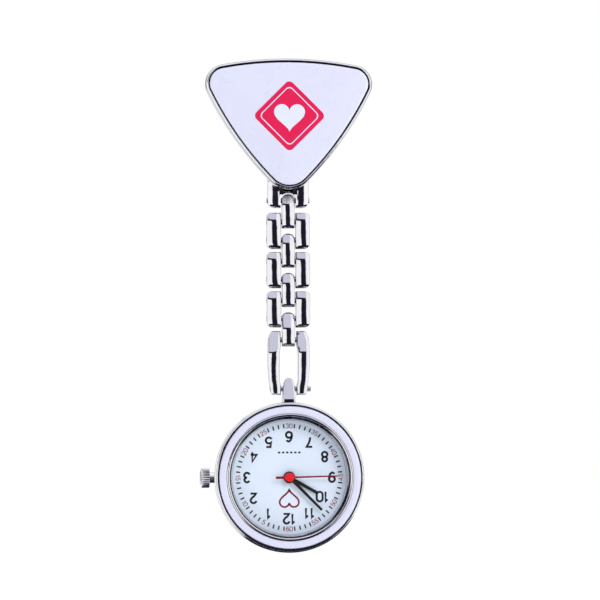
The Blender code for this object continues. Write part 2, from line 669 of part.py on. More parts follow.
centre_module = 2 * THIRD_DISTANCE / 54
third_module = 2 * THIRD_DISTANCE / 51
seconds_module = 2 * INTERMEDIATE_DISTANCE / 36
rotor_module = 2 * ROTOR_DISTANCE / 42
third_pinion_phase = meshing_phase(0.0, 48, THIRD_ANGLE, 6)
third_wheel_phase = meshing_phase(0.0, 6, THIRD_ANGLE, 45)
intermediate_pinion_phase = meshing_phase(0.0, 30, INTERMEDIATE_ANGLE, 6)
rotor_pinion_phase = meshing_phase(0.0, 36, ROTOR_ANGLE, 6)
minute_wheel_phase = meshing_phase(0.0, 10, MINUTE_WHEEL_ANGLE, 30)
hour_wheel_phase = meshing_phase(0.0, 8, MINUTE_WHEEL_ANGLE + math.pi, 32)
setting_phase = meshing_phase(minute_wheel_phase, 30, SETTING_ANGLE, 16)

rotor_frame = frame("rotor_axis", watch, *rotor_at)
magnet = upright(0, 0, -1.6, -0.9, 0.65, 20)
rotor = wheel_and_pinion((6, rotor_module, -1.9, -1.7), (6, rotor_module, -1.8, -1.65), (-2.55, -0.35),
                         (rotor_pinion_phase, rotor_pinion_phase))
node("rotor", fused(rotor, magnet), "magnet", rotor_frame)

intermediate_frame = frame("intermediate_axis", watch, *intermediate)
mesh = wheel_and_pinion((36, rotor_module, -1.86, -1.74), (6, seconds_module, -2.1, -1.8), (-2.55, -0.35),
                        (0.0, intermediate_pinion_phase))
node("intermediate_wheel", mesh, "white_plastic", intermediate_frame)

seconds_frame = frame("seconds_axis", watch)
mesh = wheel_and_pinion((30, seconds_module, -2.05, -1.9), (6, third_module, -1.95, -1.35), (-2.55, 2.1))
node("seconds_wheel", mesh, "white_plastic", seconds_frame)

third_frame = frame("third_axis", watch, *third)
mesh = wheel_and_pinion((45, third_module, -1.6, -1.45), (6, centre_module, -1.5, -0.9), (-2.55, -0.35),
                        (third_wheel_phase, third_pinion_phase))
node("third_wheel", mesh, "brass", third_frame)

minutes_frame = frame("minutes_axis", watch)
mesh = slab(gear_outline(48, centre_module), -1.1, -0.95, circle(0.25, 16))
mesh = fused(mesh, lathe([(0.3, 0.9), (0.3, -1.15), (0.2, -1.15), (0.2, 0.9)], 16))
node("centre_wheel", mesh, "brass", minutes_frame)

mesh = slab(gear_outline(10, MOTION_MODULE), 0.0, 0.2, circle(0.37, 16))
mesh = fused(mesh, lathe([(0.42, 1.75), (0.42, -0.02), (0.32, -0.02), (0.32, 1.75)], 16))
node("cannon_pinion", mesh, "bright_steel", minutes_frame)

minute_wheel_frame = frame("minute_wheel_axis", watch, *minute_at)
mesh = slab(gear_outline(30, MOTION_MODULE, minute_wheel_phase), 0.0, 0.2)
mesh = fused(mesh, slab(gear_outline(8, MOTION_MODULE), 0.1, 0.42))
mesh = cut(mesh, upright(0, 0, -1, 1, 0.21))
node("minute_wheel", mesh, "brass", minute_wheel_frame)

setting_frame = frame("setting_wheel_axis", watch, *setting_at)
mesh = slab(gear_outline(16, MOTION_MODULE, setting_phase), 0.0, 0.2)
mesh = cut(mesh, upright(0, 0, -1, 1, 0.21))
node("setting_wheel", mesh, "dark_steel", setting_frame)

hours_frame = frame("hours_axis", watch)
mesh = slab(gear_outline(32, MOTION_MODULE, hour_wheel_phase), 0.23, 0.42, circle(0.6, 20))
mesh = fused(mesh, lathe([(0.72, 1.35), (0.72, 0.22), (0.48, 0.22), (0.48, 1.35)], 20))
node("hour_wheel", mesh, "brass", hours_frame)


# ------------------------------------------------------------------ hands


mesh = slab(hand_outline(6.0, 0.6, 0.5, 1.1), 1.15, 1.3, circle(0.75, 20))
node("hour_hand", spun(mesh, HOUR_ANGLE), "black_paint", hours_frame)

mesh = slab(hand_outline(8.6, 0.42, 0.28, 0.95), 1.55, 1.7, circle(0.45, 16))
node("minute_hand", spun(mesh, MINUTE_ANGLE), "black_paint", minutes_frame)

mesh = slab(hand_outline(9.0, 0.25, 0.16, 0.84, 2.6, 0.45), 1.93, 2.05)
mesh = fused(mesh, lathe([(0, 2.2), (0.76, 2.2), (0.84, 2.12), (0.84, 1.9), (0.3, 1.9), (0.3, 1.82),
                          (0, 1.82)], 20))
mesh = cut(mesh, upright(0, 0, 1, 2.13, ARBOR_RADIUS + 0.03))
node("second_hand", spun(mesh, SECOND_ANGLE), "red_paint", seconds_frame)


# ------------------------------------------------------------------ crown and stem


clutch = slab(gear_outline(12, 0.105), 4.6, 5.6)
clutch = cut(clutch, block((-0.34, -0.34, 4), (0.34, 0.34, 6)))
node("clutch_pinion", pointing_left(clutch), "bright_steel", crown_axis)

stem = fused(upright(0, 0, 6.1, 16.05, STEM_RADIUS), block((-0.3, -0.3, 3.9), (0.3, 0.3, 6.3)),
             upright(0, 0, 3.6, 4.1, 0.2, 10))
node("winding_stem", pointing_left(stem), "brushed_steel", crown_axis)

grip = gear_outline(26, 0.135)
crown = fused(slab(grip, CROWN_SPAN[0], CROWN_SPAN[1] - 0.25),
              lathe([(0, CROWN_SPAN[1]), (1.3, CROWN_SPAN[1] - 0.05), (1.55, CROWN_SPAN[1] - 0.35),
                     (0, CROWN_SPAN[1] - 0.35)], 26))
crown = cut(crown, upright(0, 0, CROWN_SPAN[0] - 1, 15.9, TUBE_RADIUS + 0.15, 20),
            upright(0, 0, 15, 16.15, STEM_RADIUS + 0.03))
node("crown", pointing_left(crown), "bright_steel", crown_axis)
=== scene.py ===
"""Fob watch: a pin-on brooch, a steel link chain and a small quartz watch hanging upside down.

Every piece is drawn in millimetres with x across, y up and f towards the viewer,
then placed in the frame of the CAD model: x stays X, y becomes Z and f becomes -Y.
"""

import json
from functools import partial
from math import asin, atan2, ceil, cos, degrees, hypot, pi, radians, sin, sqrt, tan

import bmesh
import bpy
from mathutils import Matrix, Vector
from mathutils.bvhtree import BVHTree


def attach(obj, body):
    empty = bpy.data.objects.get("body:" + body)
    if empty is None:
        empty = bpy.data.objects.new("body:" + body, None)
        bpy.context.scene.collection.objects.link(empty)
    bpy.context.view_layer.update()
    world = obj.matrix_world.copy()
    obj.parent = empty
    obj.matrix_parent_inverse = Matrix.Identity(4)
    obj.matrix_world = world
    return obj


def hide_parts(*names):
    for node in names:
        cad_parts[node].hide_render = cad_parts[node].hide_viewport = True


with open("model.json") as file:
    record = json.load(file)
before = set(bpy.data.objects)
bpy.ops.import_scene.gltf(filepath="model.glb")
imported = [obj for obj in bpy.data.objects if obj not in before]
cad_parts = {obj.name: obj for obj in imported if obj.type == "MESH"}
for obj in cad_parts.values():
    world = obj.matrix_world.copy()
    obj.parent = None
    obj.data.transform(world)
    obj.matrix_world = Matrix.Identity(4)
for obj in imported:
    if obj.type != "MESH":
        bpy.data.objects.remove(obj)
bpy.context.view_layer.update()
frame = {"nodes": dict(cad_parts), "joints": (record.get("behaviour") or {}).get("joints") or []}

MM = 0.001
DRAWN = Matrix(((MM, 0, 0, 0), (0, 0, -MM, 0), (0, MM, 0, 0), (0, 0, 0, 1)))
ROUND = 160
SHARP_ANGLE = 32
WELD, TINY = 0.0005, 1e-6

# Brooch badge: a triangle with bowed sides and round corners, standing on its point.
# A corner is the middle of its arc and then the arc's radius.
BADGE_TOP_CORNER = (12.02, 2.7, 3.68)
BADGE_TIP_CORNER = (0.0, -12.33, 4.82)
BADGE_BOWS = (64.0, 67.4, 64.0)
CORNER_STEPS, SIDE_STEPS = 26, 22
BADGE_MIDDLE_Y = -3.0
EMBLEM_Y = -3.4

# Chain, from the fork on the brooch to the bar that carries the watch.
PIN_HEIGHTS = (-18.99, -22.99, -26.38, -30.38, -33.76, -37.77, -41.15, -45.16, -54.33)
PIN_RADIUS = 0.48
HALF_DEPTH = 1.15
CHAIN_MIDDLE = 1.15
LUG_PIN_Y = 16.57

# Watch dial, seen from its middle; it is printed upside down.
DIAL_FACE = 0.9
PRINT_LIFT = 0.012
SECOND_HUB = 0.86

joint_at = {j["name"]: Vector(j["pos_m"]) for j in frame["joints"] if j.get("pos_m")}
BROOCH = Vector((0.0, joint_at["needle_hinge"].y, joint_at["needle_hinge"].z))
WATCH = joint_at["seconds_spin"]
WATCH.y = joint_at["watch_swing"].y
CROWN = joint_at["crown_turn"].copy()
CROWN.x = 0.0


# ======== outlines


def arc(x, y, radius, first, last, steps):
    """Points of a circle from one angle to another, in degrees."""
    turns = [radians(first + (last - first) * i / steps) for i in range(steps + 1)]
    return [(x + radius * cos(a), y + radius * sin(a)) for a in turns]


def circle(radius, steps=ROUND):
    return arc(0, 0, radius, 0, 360, steps)[:-1]


def filleted(points, radii, steps=5, closed=True):
    """The same outline with an arc of its own radius at every corner."""
    result = []
    count = len(points)
    for i in range(count):
        point, radius = Vector(points[i]), radii[i % len(radii)]
        if radius <= 0 or (not closed and i in (0, count - 1)):
            result.append(tuple(point))
            continue
        back = Vector(points[i - 1]) - point
        ahead = Vector(points[(i + 1) % count]) - point
        half = back.angle(ahead) / 2
        if half > radians(89.5):
            result.append(tuple(point))
            continue
        reach = min(radius / tan(half), 0.49 * back.length, 0.49 * ahead.length)
        radius = reach * tan(half)
        back.normalize()
        ahead.normalize()
        middle = point + (back + ahead).normalized() * (radius / sin(half))
        start, end = point + back * reach - middle, point + ahead * reach - middle
        first = atan2(start.y, start.x)
        turn = atan2(end.y, end.x) - first
        turn = (turn + pi) % (2 * pi) - pi
        for k in range(steps + 1):
            a = first + turn * k / steps
            result.append((middle.x + radius * cos(a), middle.y + radius * sin(a)))
    return result


def eased(points, radii, steps=5):
    """An open line with its inner corners rounded."""
    return filleted(points, radii, steps, closed=False)


def inset_outline(points, distance):
    """Anticlockwise outline moved inwards by a distance, point for point."""
    result = []
    count = len(points)
    for i in range(count):
        point = Vector(points[i])
        back = (point - Vector(points[i - 1])).normalized()
        ahead = (Vector(points[(i + 1) % count]) - point).normalized()
        inward = Vector((-back.y - ahead.y, back.x + ahead.x))
        if inward.length < TINY:
            result.append(tuple(point))
            continue
        inward.normalize()
        spread = max(0.4, inward.dot(Vector((-ahead.y, ahead.x))))
        result.append(tuple(point + inward * (distance / spread)))
    return result


def rounded_box(low, high, radii, steps=8):
    """Rectangle with its own radius at each corner, from lower left anticlockwise."""
    corners = [low, (high[0], low[1]), high, (low[0], high[1])]
    return filleted(corners, radii, steps)


def meeting_point(p, p_radius, q, q_radius):
    """Where two circles cross, on the left of the way from p to q."""
    span = q - p
    along = (p_radius ** 2 - q_radius ** 2 + span.length ** 2) / (2 * span.length)
    across = sqrt(p_radius ** 2 - along ** 2)
    unit = span.normalized()
    return p + unit * along + Vector((-unit.y, unit.x)) * across


def badge_outline(inset):
    """Three corner arcs joined by three wide arcs that run into them without a kink."""
    x, y, radius = BADGE_TOP_CORNER
    tip = Vector(BADGE_TIP_CORNER[:2])
    corners = [(tip, BADGE_TIP_CORNER[2]), (Vector((x, y)), radius), (Vector((-x, y)), radius)]
    centres = []
    for i, bow in enumerate(BADGE_BOWS):
        (p, p_radius), (q, q_radius) = corners[i], corners[(i + 1) % 3]
        centres.append(meeting_point(p, bow - p_radius, q, bow - q_radius))

    def swept(centre, radius, first, last, steps):
        turns = [first + (last - first) * k / steps for k in range(steps + 1)]
        return [tuple(centre + Vector((cos(a), sin(a))) * (radius - inset)) for a in turns]

    points = []
    for i, (corner, radius) in enumerate(corners):
        into, out_of = corner - centres[i - 1], corner - centres[i]
        first, last = atan2(into.y, into.x), atan2(out_of.y, out_of.x)
        last += 2 * pi if last < first else 0
        points += swept(corner, radius, first, last, CORNER_STEPS)
        ahead = corners[(i + 1) % 3][0] - centres[i]
        finish = atan2(ahead.y, ahead.x)
        finish += 2 * pi if finish < last - pi else 0
        points += swept(centres[i], BADGE_BOWS[i], last, finish, SIDE_STEPS)[1:-1]
    return points


def badge_loops(profile):
    """The badge's outline at each (inset, height) of a profile."""
    return [[(x, y, f) for x, y in badge_outline(inset)] for inset, f in profile]


def toothed(teeth, root, tip):
    """Outline with round-topped teeth, as knurling on a crown."""
    steps = 3
    points = []
    for i in range(teeth):
        for k in range(2 * steps):
            share = k / (2 * steps)
            lift = 0.5 - 0.5 * cos(2 * pi * share)
            radius = root + (tip - root) * lift ** 0.7
            a = 2 * pi * (i + share) / teeth
            points.append((radius * cos(a), radius * sin(a)))
    return points


def hand_outline(length, root, tip, hub, tail=0.0, tail_width=0.0):
    """Straight hand pointing up, anticlockwise, with a round hub and perhaps a tail."""
    lift = degrees(asin(root / 2 / hub))
    points = [(tip / 2, length), (-tip / 2, length)]
    if not tail:
        return points + arc(0, 0, hub, 90 + lift, 450 - lift, 40)
    drop = degrees(asin(tail_width / 2 / hub))
    points += arc(0, 0, hub, 90 + lift, 270 - drop, 20)
    points += [(-tail_width / 2, -tail), (tail_width / 2, -tail)]
    return points + arc(0, 0, hub, 270 + drop, 450 - lift, 20)


def turned(points, clockwise):
    """Points turned about the origin, clockwise for the viewer, in degrees."""
    c, s = cos(radians(clockwise)), sin(radians(clockwise))
    return [(x * c + y * s, y * c - x * s) for x, y in points]


def value_at(curve, y):
    """Height of a curve of (y, value) points at y."""
    if y <= curve[0][0]:
        return curve[0][1]
    for (y0, v0), (y1, v1) in zip(curve, curve[1:]):
        if y <= y1:
            return v1 if y1 - y0 < 1e-9 else v0 + (v1 - v0) * (y - y0) / (y1 - y0)
    return curve[-1][1]


# ======== solids


def loft(loops, wrap=False):
    """Closed skin over loops of equally many points; a loop of one point makes a tip."""
    shape = bmesh.new()
    rings = [[shape.verts.new(p) for p in loop] for loop in loops]
    following = rings[1:] + (rings[:1] if wrap else [])
    for first, second in zip(rings, following):
        count = max(len(first), len(second))
        for i in range(count):
            j = (i + 1) % count
            corners = (first[i % len(first)], first[j % len(first)],
                       second[j % len(second)], second[i % len(second)])
            corners = list(dict.fromkeys(corners))
            if len(corners) > 2:
                shape.faces.new(corners)
    if not wrap:
        for ring in (rings[0], rings[-1]):
            if len(ring) > 2:
                shape.faces.new(ring)
    return finished(shape)


def finished(shape):
    """Turn a bmesh into a mesh with its faces outwards."""
    bmesh.ops.recalc_face_normals(shape, faces=shape.faces)
    mesh = bpy.data.meshes.new("shape")
    shape.to_mesh(mesh)
    shape.free()
    return mesh


def lathe(profile, steps=ROUND):
    """Turn a (radius, height) profile about the f axis."""
    loops = []
    for radius, height in profile:
        ring = [(0.0, 0.0)] if radius == 0 else circle(radius, steps)
        loops.append([(x, y, height) for x, y in ring])
    return loft(loops, wrap=len(loops[0]) > 1)


def slab(outline, low, high, edge=0.0):
    """Plate between two depths, with its front and back edges rounded."""
    stations = [(0.0, low), (0.0, high)]
    if edge:
        turns = [pi / 2 * k / 4 for k in range(5)]
        stations = [(edge * (1 - sin(a)), low + edge * (1 - cos(a))) for a in turns]
        stations += [(edge * (1 - cos(a)), high - edge * (1 - sin(a))) for a in turns]
    return loft([[(x, y, f) for x, y in inset_outline(outline, inset)] for inset, f in stations])


def rod(start, end, radius, edge=0.0, sides=32):
    """Round bar between two points, with its end edges rounded."""
    start, end = Vector(start), Vector(end)
    length = (end - start).length
    profile = [(0, 0), (radius, 0), (radius, length), (0, length)]
    mesh = lathe(eased(profile, (0, edge, edge, 0), 4), sides)
    turn = (end - start).to_track_quat('Z', 'Y').to_matrix().to_4x4()
    mesh.transform(Matrix.Translation(start) @ turn)
    return mesh


def crowned_section(left, right, back, front, radius, crown, lean):
    """Section from a left to a right edge point: convex front, flat back, round corners.

    A lean moves the highest line of the front towards the right."""
    left, right = Vector(left), Vector(right)
    half = (right - left).length / 2
    across = (right - left).normalized()
    middle = (left + right) / 2
    radius = min(radius, 0.96 * half, 0.48 * (front - back))
    side = half - radius
    right_end, left_end = 90 - crown + lean, 90 + crown + lean
    to_right, to_left = radians(crown - lean), radians(crown + lean)
    reach = 2 * side / (sin(to_right) + sin(to_left))
    wide = radius + reach
    ridge = side - reach * sin(to_right)
    centre = front - wide
    section = arc(-side, back + radius, radius, 180, 270, 5)
    section += arc(side, back + radius, radius, 270, 360, 5)
    section += arc(side, centre + reach * cos(to_right), radius, 0, right_end, 5)
    section += arc(ridge, centre, wide, right_end, left_end, 12)[1:-1]
    section += arc(-side, centre + reach * cos(to_left), radius, left_end, 180, 5)
    return [(*(middle + across * a), f) for a, f in section]


def crowned_bar(left, right, back, front, radius=0.3, crown=22.0, lean=(0.0, 0.0)):
    """Upright bar with a convex front. Each edge is a curve over y from foot to top."""
    heights = sorted({round(y, 5) for curve in (left, right, back, front) for y, _ in curve})
    low, high = left[0][0], left[-1][0]
    loops = []
    for y in heights:
        if low <= y <= high:
            edges = ((value_at(left, y), y), (value_at(right, y), y))
            depth = (value_at(back, y), value_at(front, y))
            leaning = lean[0] + (lean[1] - lean[0]) * (y - low) / (high - low)
            loops.append(crowned_section(*edges, *depth, radius, crown, leaning))
    return loft(loops)


def run(low, high, value, towards, radius_low, radius_high):
    """Curve that holds a value and rounds off towards another at either end."""
    points = [(low, towards), (low, value), (high, value), (high, towards)]
    return eased(points, (0, radius_low, radius_high, 0), 8)[1:-1]


def placed(name, data, location=(0, 0, 0)):
    """New object in the scene."""
    obj = bpy.data.objects.new(name, data)
    obj.location = location
    bpy.context.scene.collection.objects.link(obj)
    return obj


def combine(operation, first, *others):
    """Exact Booleans between a closed mesh and some others, one after another."""
    for other in others:
        body, tool = placed("body", first), placed("tool", other)
        boolean = body.modifiers.new("Combine", 'BOOLEAN')
        boolean.solver = 'EXACT'
        boolean.operation = operation
        boolean.object = tool
        depsgraph = bpy.context.evaluated_depsgraph_get()
        first = bpy.data.meshes.new_from_object(body.evaluated_get(depsgraph))
        for obj in (body, tool):
            bpy.data.objects.remove(obj)
        shape = bmesh.new()
        shape.from_mesh(first)
        bmesh.ops.remove_doubles(shape, verts=shape.verts, dist=WELD)
        bmesh.ops.dissolve_degenerate(shape, edges=shape.edges, dist=WELD)
        shape.to_mesh(first)
        shape.free()
    return first


fused = partial(combine, 'UNION')
cut = partial(combine, 'DIFFERENCE')


def joined(meshes):
    """Several separate solids in one mesh."""
    shape = bmesh.new()
    for mesh in meshes:
        shape.from_mesh(mesh)
    return finished(shape)


def moved(mesh, x=0.0, y=0.0, f=0.0):
    mesh.transform(Matrix.Translation((x, y, f)))
    return mesh


def pointing(way, mesh):
    """Lay a shape that was built up f along x or y; going up, its own y ends up backwards."""
    angle, axis = {"left": (-90, 'Y'), "right": (90, 'Y'), "up": (-90, 'X')}[way]
    mesh.transform(Matrix.Rotation(radians(angle), 4, axis))
    return mesh


# ======== materials


class Graph:
    """Short calls that add nodes to a tree."""

    def __init__(self, tree):
        self.tree = tree

    def node(self, kind, **settings):
        node = self.tree.nodes.new("ShaderNode" + kind)
        for key, value in settings.items():
            setattr(node, key, value)
        return node

    def link(self, source, target):
        self.tree.links.new(source, target)

    def feed(self, sockets, values):
        """Give each socket its number, its colour or the socket it comes from."""
        for socket, value in zip(sockets, values):
            if isinstance(value, (int, float)):
                socket.default_value = value
            elif isinstance(value, tuple):
                socket.default_value = (*value, 1.0)
            else:
                self.link(value, socket)

    def fed(self, kind, **inputs):
        """New node with its inputs given by name."""
        node = self.node(kind)
        self.feed([node.inputs[name] for name in inputs], inputs.values())
        return node

    def ranged(self, source, low, high, start=0.3, end=0.7, kind='LINEAR'):
        """Spread a pattern that runs from start to end over another range."""
        spread = self.node("MapRange", interpolation_type=kind)
        self.feed(spread.inputs, (source, start, end, low, high))
        return spread.outputs[0]

    def math(self, operation, first, second=0.0):
        node = self.node("Math", operation=operation)
        self.feed(node.inputs, (first, second))
        return node.outputs[0]

    def mixed(self, share, first, second):
        """Colour between two colours or sockets."""
        mix = self.node("Mix", data_type='RGBA')
        self.feed((mix.inputs["Factor"], mix.inputs[6], mix.inputs[7]), (share, first, second))
        return mix.outputs[2]


class Recipe(Graph):
    """A Principled material whose inputs are fed by procedural nodes in millimetres."""

    def __init__(self, name, **constants):
        self.material = bpy.data.materials.new(name)
        self.material.use_nodes = True
        super().__init__(self.material.node_tree)
        self.shader = self.tree.nodes["Principled BSDF"]
        for key, value in constants.items():
            self.shader.inputs[key.replace("_", " ")].default_value = value
        self.place = self.node("TexCoord").outputs["Object"]

    def stretched(self, scale=(1, 1, 1), own=True):
        """Coordinates in millimetres, scaled along each axis, and different for each piece."""
        mapping = self.node("Mapping")
        mapping.inputs["Scale"].default_value = [s / MM for s in scale]
        self.link(self.place, mapping.inputs["Vector"])
        if own:
            chance = self.node("ObjectInfo").outputs["Random"]
            self.link(self.math('MULTIPLY', chance, 40.0), mapping.inputs["Location"])
        return mapping.outputs["Vector"]

    def radius(self):
        """Distance from the axis that points at the viewer, for turned pieces."""
        split, flat = self.node("SeparateXYZ"), self.node("CombineXYZ")
        self.link(self.stretched(own=False), split.inputs[0])
        self.feed(flat.inputs, (split.outputs["X"], split.outputs["Z"]))
        length = self.node("VectorMath", operation='LENGTH')
        self.link(flat.outputs[0], length.inputs[0])
        return length.outputs["Value"]

    def noise(self, scale, detail=4.0, where=None, roughness=0.55):
        return self.fed("TexNoise", Scale=scale, Detail=detail, Roughness=roughness,
                        Vector=where or self.stretched()).outputs["Fac"]

    def finish(self, colour, roughness, height, distance_mm, strength):
        """Wire up the shader, bump and all, and give the material."""
        bump = self.fed("Bump", Strength=strength, Distance=distance_mm * MM, Height=height)
        self.feed([self.shader.inputs[name] for name in ("Base Color", "Roughness", "Normal")],
                  (colour, roughness, bump.outputs[0]))
        return self.material

    def worn(self, tint, deep, stain, amount, low=0.47, high=0.56):
        """Colour that deepens in hollows and where a stain is strong."""
        pointed = self.node("NewGeometry").outputs["Pointiness"]
        edged = self.mixed(self.ranged(pointed, 0, 1, low, high), deep, tint)
        return self.mixed(self.ranged(stain, 0, amount), edged, deep)


def polished(name, tint=(0.90, 0.90, 0.92), deep=(0.66, 0.66, 0.71), low=0.04, high=0.11,
             painted_shade_reach=0.9):
    """Plated metal: nearly a mirror, with soft smudges, hair scratches and painted shade that
    darkens the gaps between parts.
    """
    r = Recipe(name, Metallic=1.0)
    smudge = r.noise(0.55, 5)
    hair = r.noise(1.0, 3, r.stretched((0.6, 0.6, 14)), 0.7)
    wave = r.noise(0.55, 1)
    colour = r.worn(tint, deep, smudge, 0.3)
    # Painted shade: the colour goes nearly black where nearby surfaces hem a face in, within the
    # given reach in millimetres; a reach of 0 leaves it out.
    if painted_shade_reach:
        hidden = r.fed("AmbientOcclusion", Distance=painted_shade_reach * MM)
        hidden.samples = 6
        painted_gap_shade = r.ranged(hidden.outputs["AO"], 1, 0, 0.35, 0.86)
        colour = r.mixed(painted_gap_shade, colour, (0.03, 0.03, 0.04))
    rough = r.math('ADD', r.ranged(smudge, low, high), r.ranged(hair, 0.0, 0.05, 0.55, 0.75))
    height = r.math('ADD', r.math('MULTIPLY', hair, 0.02), wave)
    return r.finish(colour, rough, height, 0.05, 1.0)


def brushed(name, tint, low=0.22, high=0.42, along=(2, 60, 60), bump=0.006):
    """Metal with a straight grain along one axis and uneven dulling."""
    r = Recipe(name, Metallic=1.0)
    grain = r.noise(1.0, 4, r.stretched(along), 0.65)
    stain = r.noise(0.35, 4)
    colour = r.worn(tint, tuple(0.62 * c for c in tint), stain, 0.4)
    rough = r.math('ADD', r.ranged(grain, low, high), r.ranged(stain, 0, 0.08))
    return r.finish(colour, rough, grain, bump, 0.4)


def turned_metal(name, tint, low=0.16, high=0.34):
    """Metal faced on a lathe: fine rings about the f axis."""
    r = Recipe(name, Metallic=1.0)
    across = r.node("CombineXYZ")
    r.link(r.radius(), across.inputs[0])
    rings = r.noise(14.0, 3, across.outputs[0], 0.7)
    stain = r.noise(0.3, 4)
    colour = r.worn(tint, tuple(0.68 * c for c in tint), stain, 0.45)
    rough = r.math('ADD', r.ranged(rings, low, high), r.ranged(stain, 0, 0.07))
    return r.finish(colour, rough, rings, 0.008, 0.35)


def grained(name, tint, deep, metallic=0.0, low=0.35, high=0.6):
    """Moulded, cast or painted stuff with a fine mottle and darker hollows."""
    r = Recipe(name, Metallic=metallic)
    fine = r.noise(18.0, 4)
    colour = r.worn(tint, deep, r.noise(1.2, 3), 0.4, 0.44, 0.53)
    return r.finish(colour, r.ranged(fine, low, high), fine, 0.01, 0.3)


def enamel(name):
    """Pale fired enamel: glassy coat, faint clouding, slight ripple."""
    r = Recipe(name, Coat_Weight=0.8, Coat_Roughness=0.12, Coat_IOR=1.5)
    cloud = r.noise(0.16, 3)
    speck = r.noise(5.0, 2)
    base = r.mixed(r.ranged(cloud, 0, 1), (0.572, 0.584, 0.715), (0.58, 0.593, 0.722))
    colour = r.mixed(r.ranged(speck, 0, 0.10, 0.62, 0.8), base, (0.53, 0.54, 0.66))
    return r.finish(colour, r.ranged(cloud, 0.22, 0.34), r.noise(0.8, 2), 0.005, 0.2)


def ink(name, tint, deep, low=0.25, high=0.45):
    """Printed or painted colour with slightly uneven cover."""
    r = Recipe(name)
    cover = r.noise(9.0, 3)
    colour = r.mixed(r.ranged(cover, 0, 0.6), tint, deep)
    return r.finish(colour, r.ranged(cover, low, high), cover, 0.004, 0.2)


def painted_hand(name, hub, line, hub_radius):
    """Paint that is brighter on the raised hub than along the thin hand."""
    r = Recipe(name)
    outside = r.ranged(r.radius(), 0, 1, hub_radius, hub_radius + 0.15)
    cover = r.noise(9.0, 3)
    paint = r.mixed(outside, hub, line)
    colour = r.mixed(r.ranged(cover, 0, 0.25), paint, line)
    return r.finish(colour, r.ranged(cover, 0.2, 0.34), cover, 0.004, 0.2)


def lacquer(name):
    """Dial lacquer: pale, faintly blue, with a very fine grain and a faint painted glow that
    brightens it.
    """
    # The emission is painted light: a faint glow that lifts the dial's brightness behind the
    # crystal.
    r = Recipe(name, Coat_Weight=0.15, Coat_Roughness=0.2, Emission_Strength=0.06,
               Emission_Color=(0.85, 0.90, 1.0, 1.0))
    grain = r.noise(22.0, 3)
    cloud = r.noise(0.12, 2)
    base = r.mixed(r.ranged(cloud, 0, 1), (0.613, 0.678, 0.755), (0.623, 0.685, 0.757))
    colour = r.mixed(r.ranged(grain, 0, 0.16), base, (0.52, 0.58, 0.70))
    return r.finish(colour, r.ranged(grain, 0.38, 0.55), grain, 0.004, 0.2)


def mineral_glass(name):
    """Thin clear glass: see-through, mirroring more at a slant, with faint smears."""
    r = Recipe(name)
    r.tree.nodes.remove(r.shader)
    clear = r.fed("BsdfTransparent", Color=(0.985, 0.992, 1.0))
    mirror = r.fed("BsdfGlossy", Color=(1.0, 1.0, 1.0),
                   Roughness=r.ranged(r.noise(0.5, 5), 0.01, 0.06))
    slant = r.fed("LayerWeight", Blend=0.5)
    share = r.math('ADD', r.math('POWER', slant.outputs["Facing"], 5.0), 0.008)
    mix = r.node("MixShader")
    r.feed(mix.inputs, (share, clear.outputs[0], mirror.outputs[0]))
    r.link(mix.outputs[0], r.tree.nodes["Material Output"].inputs["Surface"])
    return r.material


# chrome and rehaut_plating paint shade into the gaps between parts; the other plated finishes
# paint none.
CHROME = polished("chrome")
CHROME_UNSHADED = polished("chrome_unshaded", (0.92, 0.92, 0.94), (0.75, 0.75, 0.80), painted_shade_reach=0.0)
CHROME_DULL = polished("chrome_dull", (0.96, 0.96, 0.97), (0.86, 0.86, 0.89), 0.2, 0.34, 0.0)
STEEL = brushed("pin_steel", (0.66, 0.66, 0.68))
BACK_STEEL = turned_metal("turned_steel", (0.70, 0.70, 0.72))
ENAMEL = enamel("pale_enamel")
SATIN = polished("chrome_satin", (0.97, 0.97, 1.0), (0.9, 0.9, 0.95), 0.5, 0.6, 0.0)
REHAUT = polished("rehaut_plating", (0.86, 0.86, 0.89), (0.6, 0.6, 0.65), 0.08, 0.18, 0.26)
DIAL = lacquer("dial_lacquer")
BLACK = ink("black_paint", (0.008, 0.008, 0.010), (0.018, 0.018, 0.020))
RED = painted_hand("red_paint", (0.80, 0.012, 0.018), (0.21, 0.006, 0.02), SECOND_HUB)
DARK_RED = ink("dark_red_print", (0.24, 0.008, 0.025), (0.17, 0.006, 0.02))
EMBLEM_RED = ink("emblem_red", (0.60, 0.014, 0.072), (0.55, 0.012, 0.062), 0.16, 0.28)
EMBLEM_WHITE = ink("emblem_white", (0.60, 0.63, 0.78), (0.57, 0.60, 0.75), 0.2, 0.3)
GLASS = mineral_glass("mineral_glass")

# The usual slots of the finishes that many pieces share.
BRIGHT = ("bright_steel", CHROME)
BRUSHED = ("brushed_steel", STEEL)
BLACK_PRINT = ("black_paint", BLACK)
RED_PRINT = ("red_paint", DARK_RED)
WHITE_PRINT = ("pale_enamel", EMBLEM_WHITE)


# ======== pieces


def piece(name, mesh, place, body, slot, material, node=""):
    """Put a drawn mesh in the scene as one piece on a CAD body.

    It stands for the CAD node that is given, or else for the one of its own name."""
    mesh.transform(DRAWN)
    mesh.name = name
    mesh.shade_smooth()
    mesh.set_sharp_from_angle(angle=radians(SHARP_ANGLE))
    mesh.materials.clear()
    mesh.materials.append(material)
    obj = placed(name, mesh, place)
    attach(obj, body)
    node = node or name.lower()
    if node in frame["nodes"]:
        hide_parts(node)
    return obj


def second_finish(obj, material, chosen):
    """Give the chosen faces of a piece another finish of the same metal."""
    obj.data.materials.append(material)
    for face in obj.data.polygons:
        if chosen(face):
            face.material_index = 1


# ---- Brooch

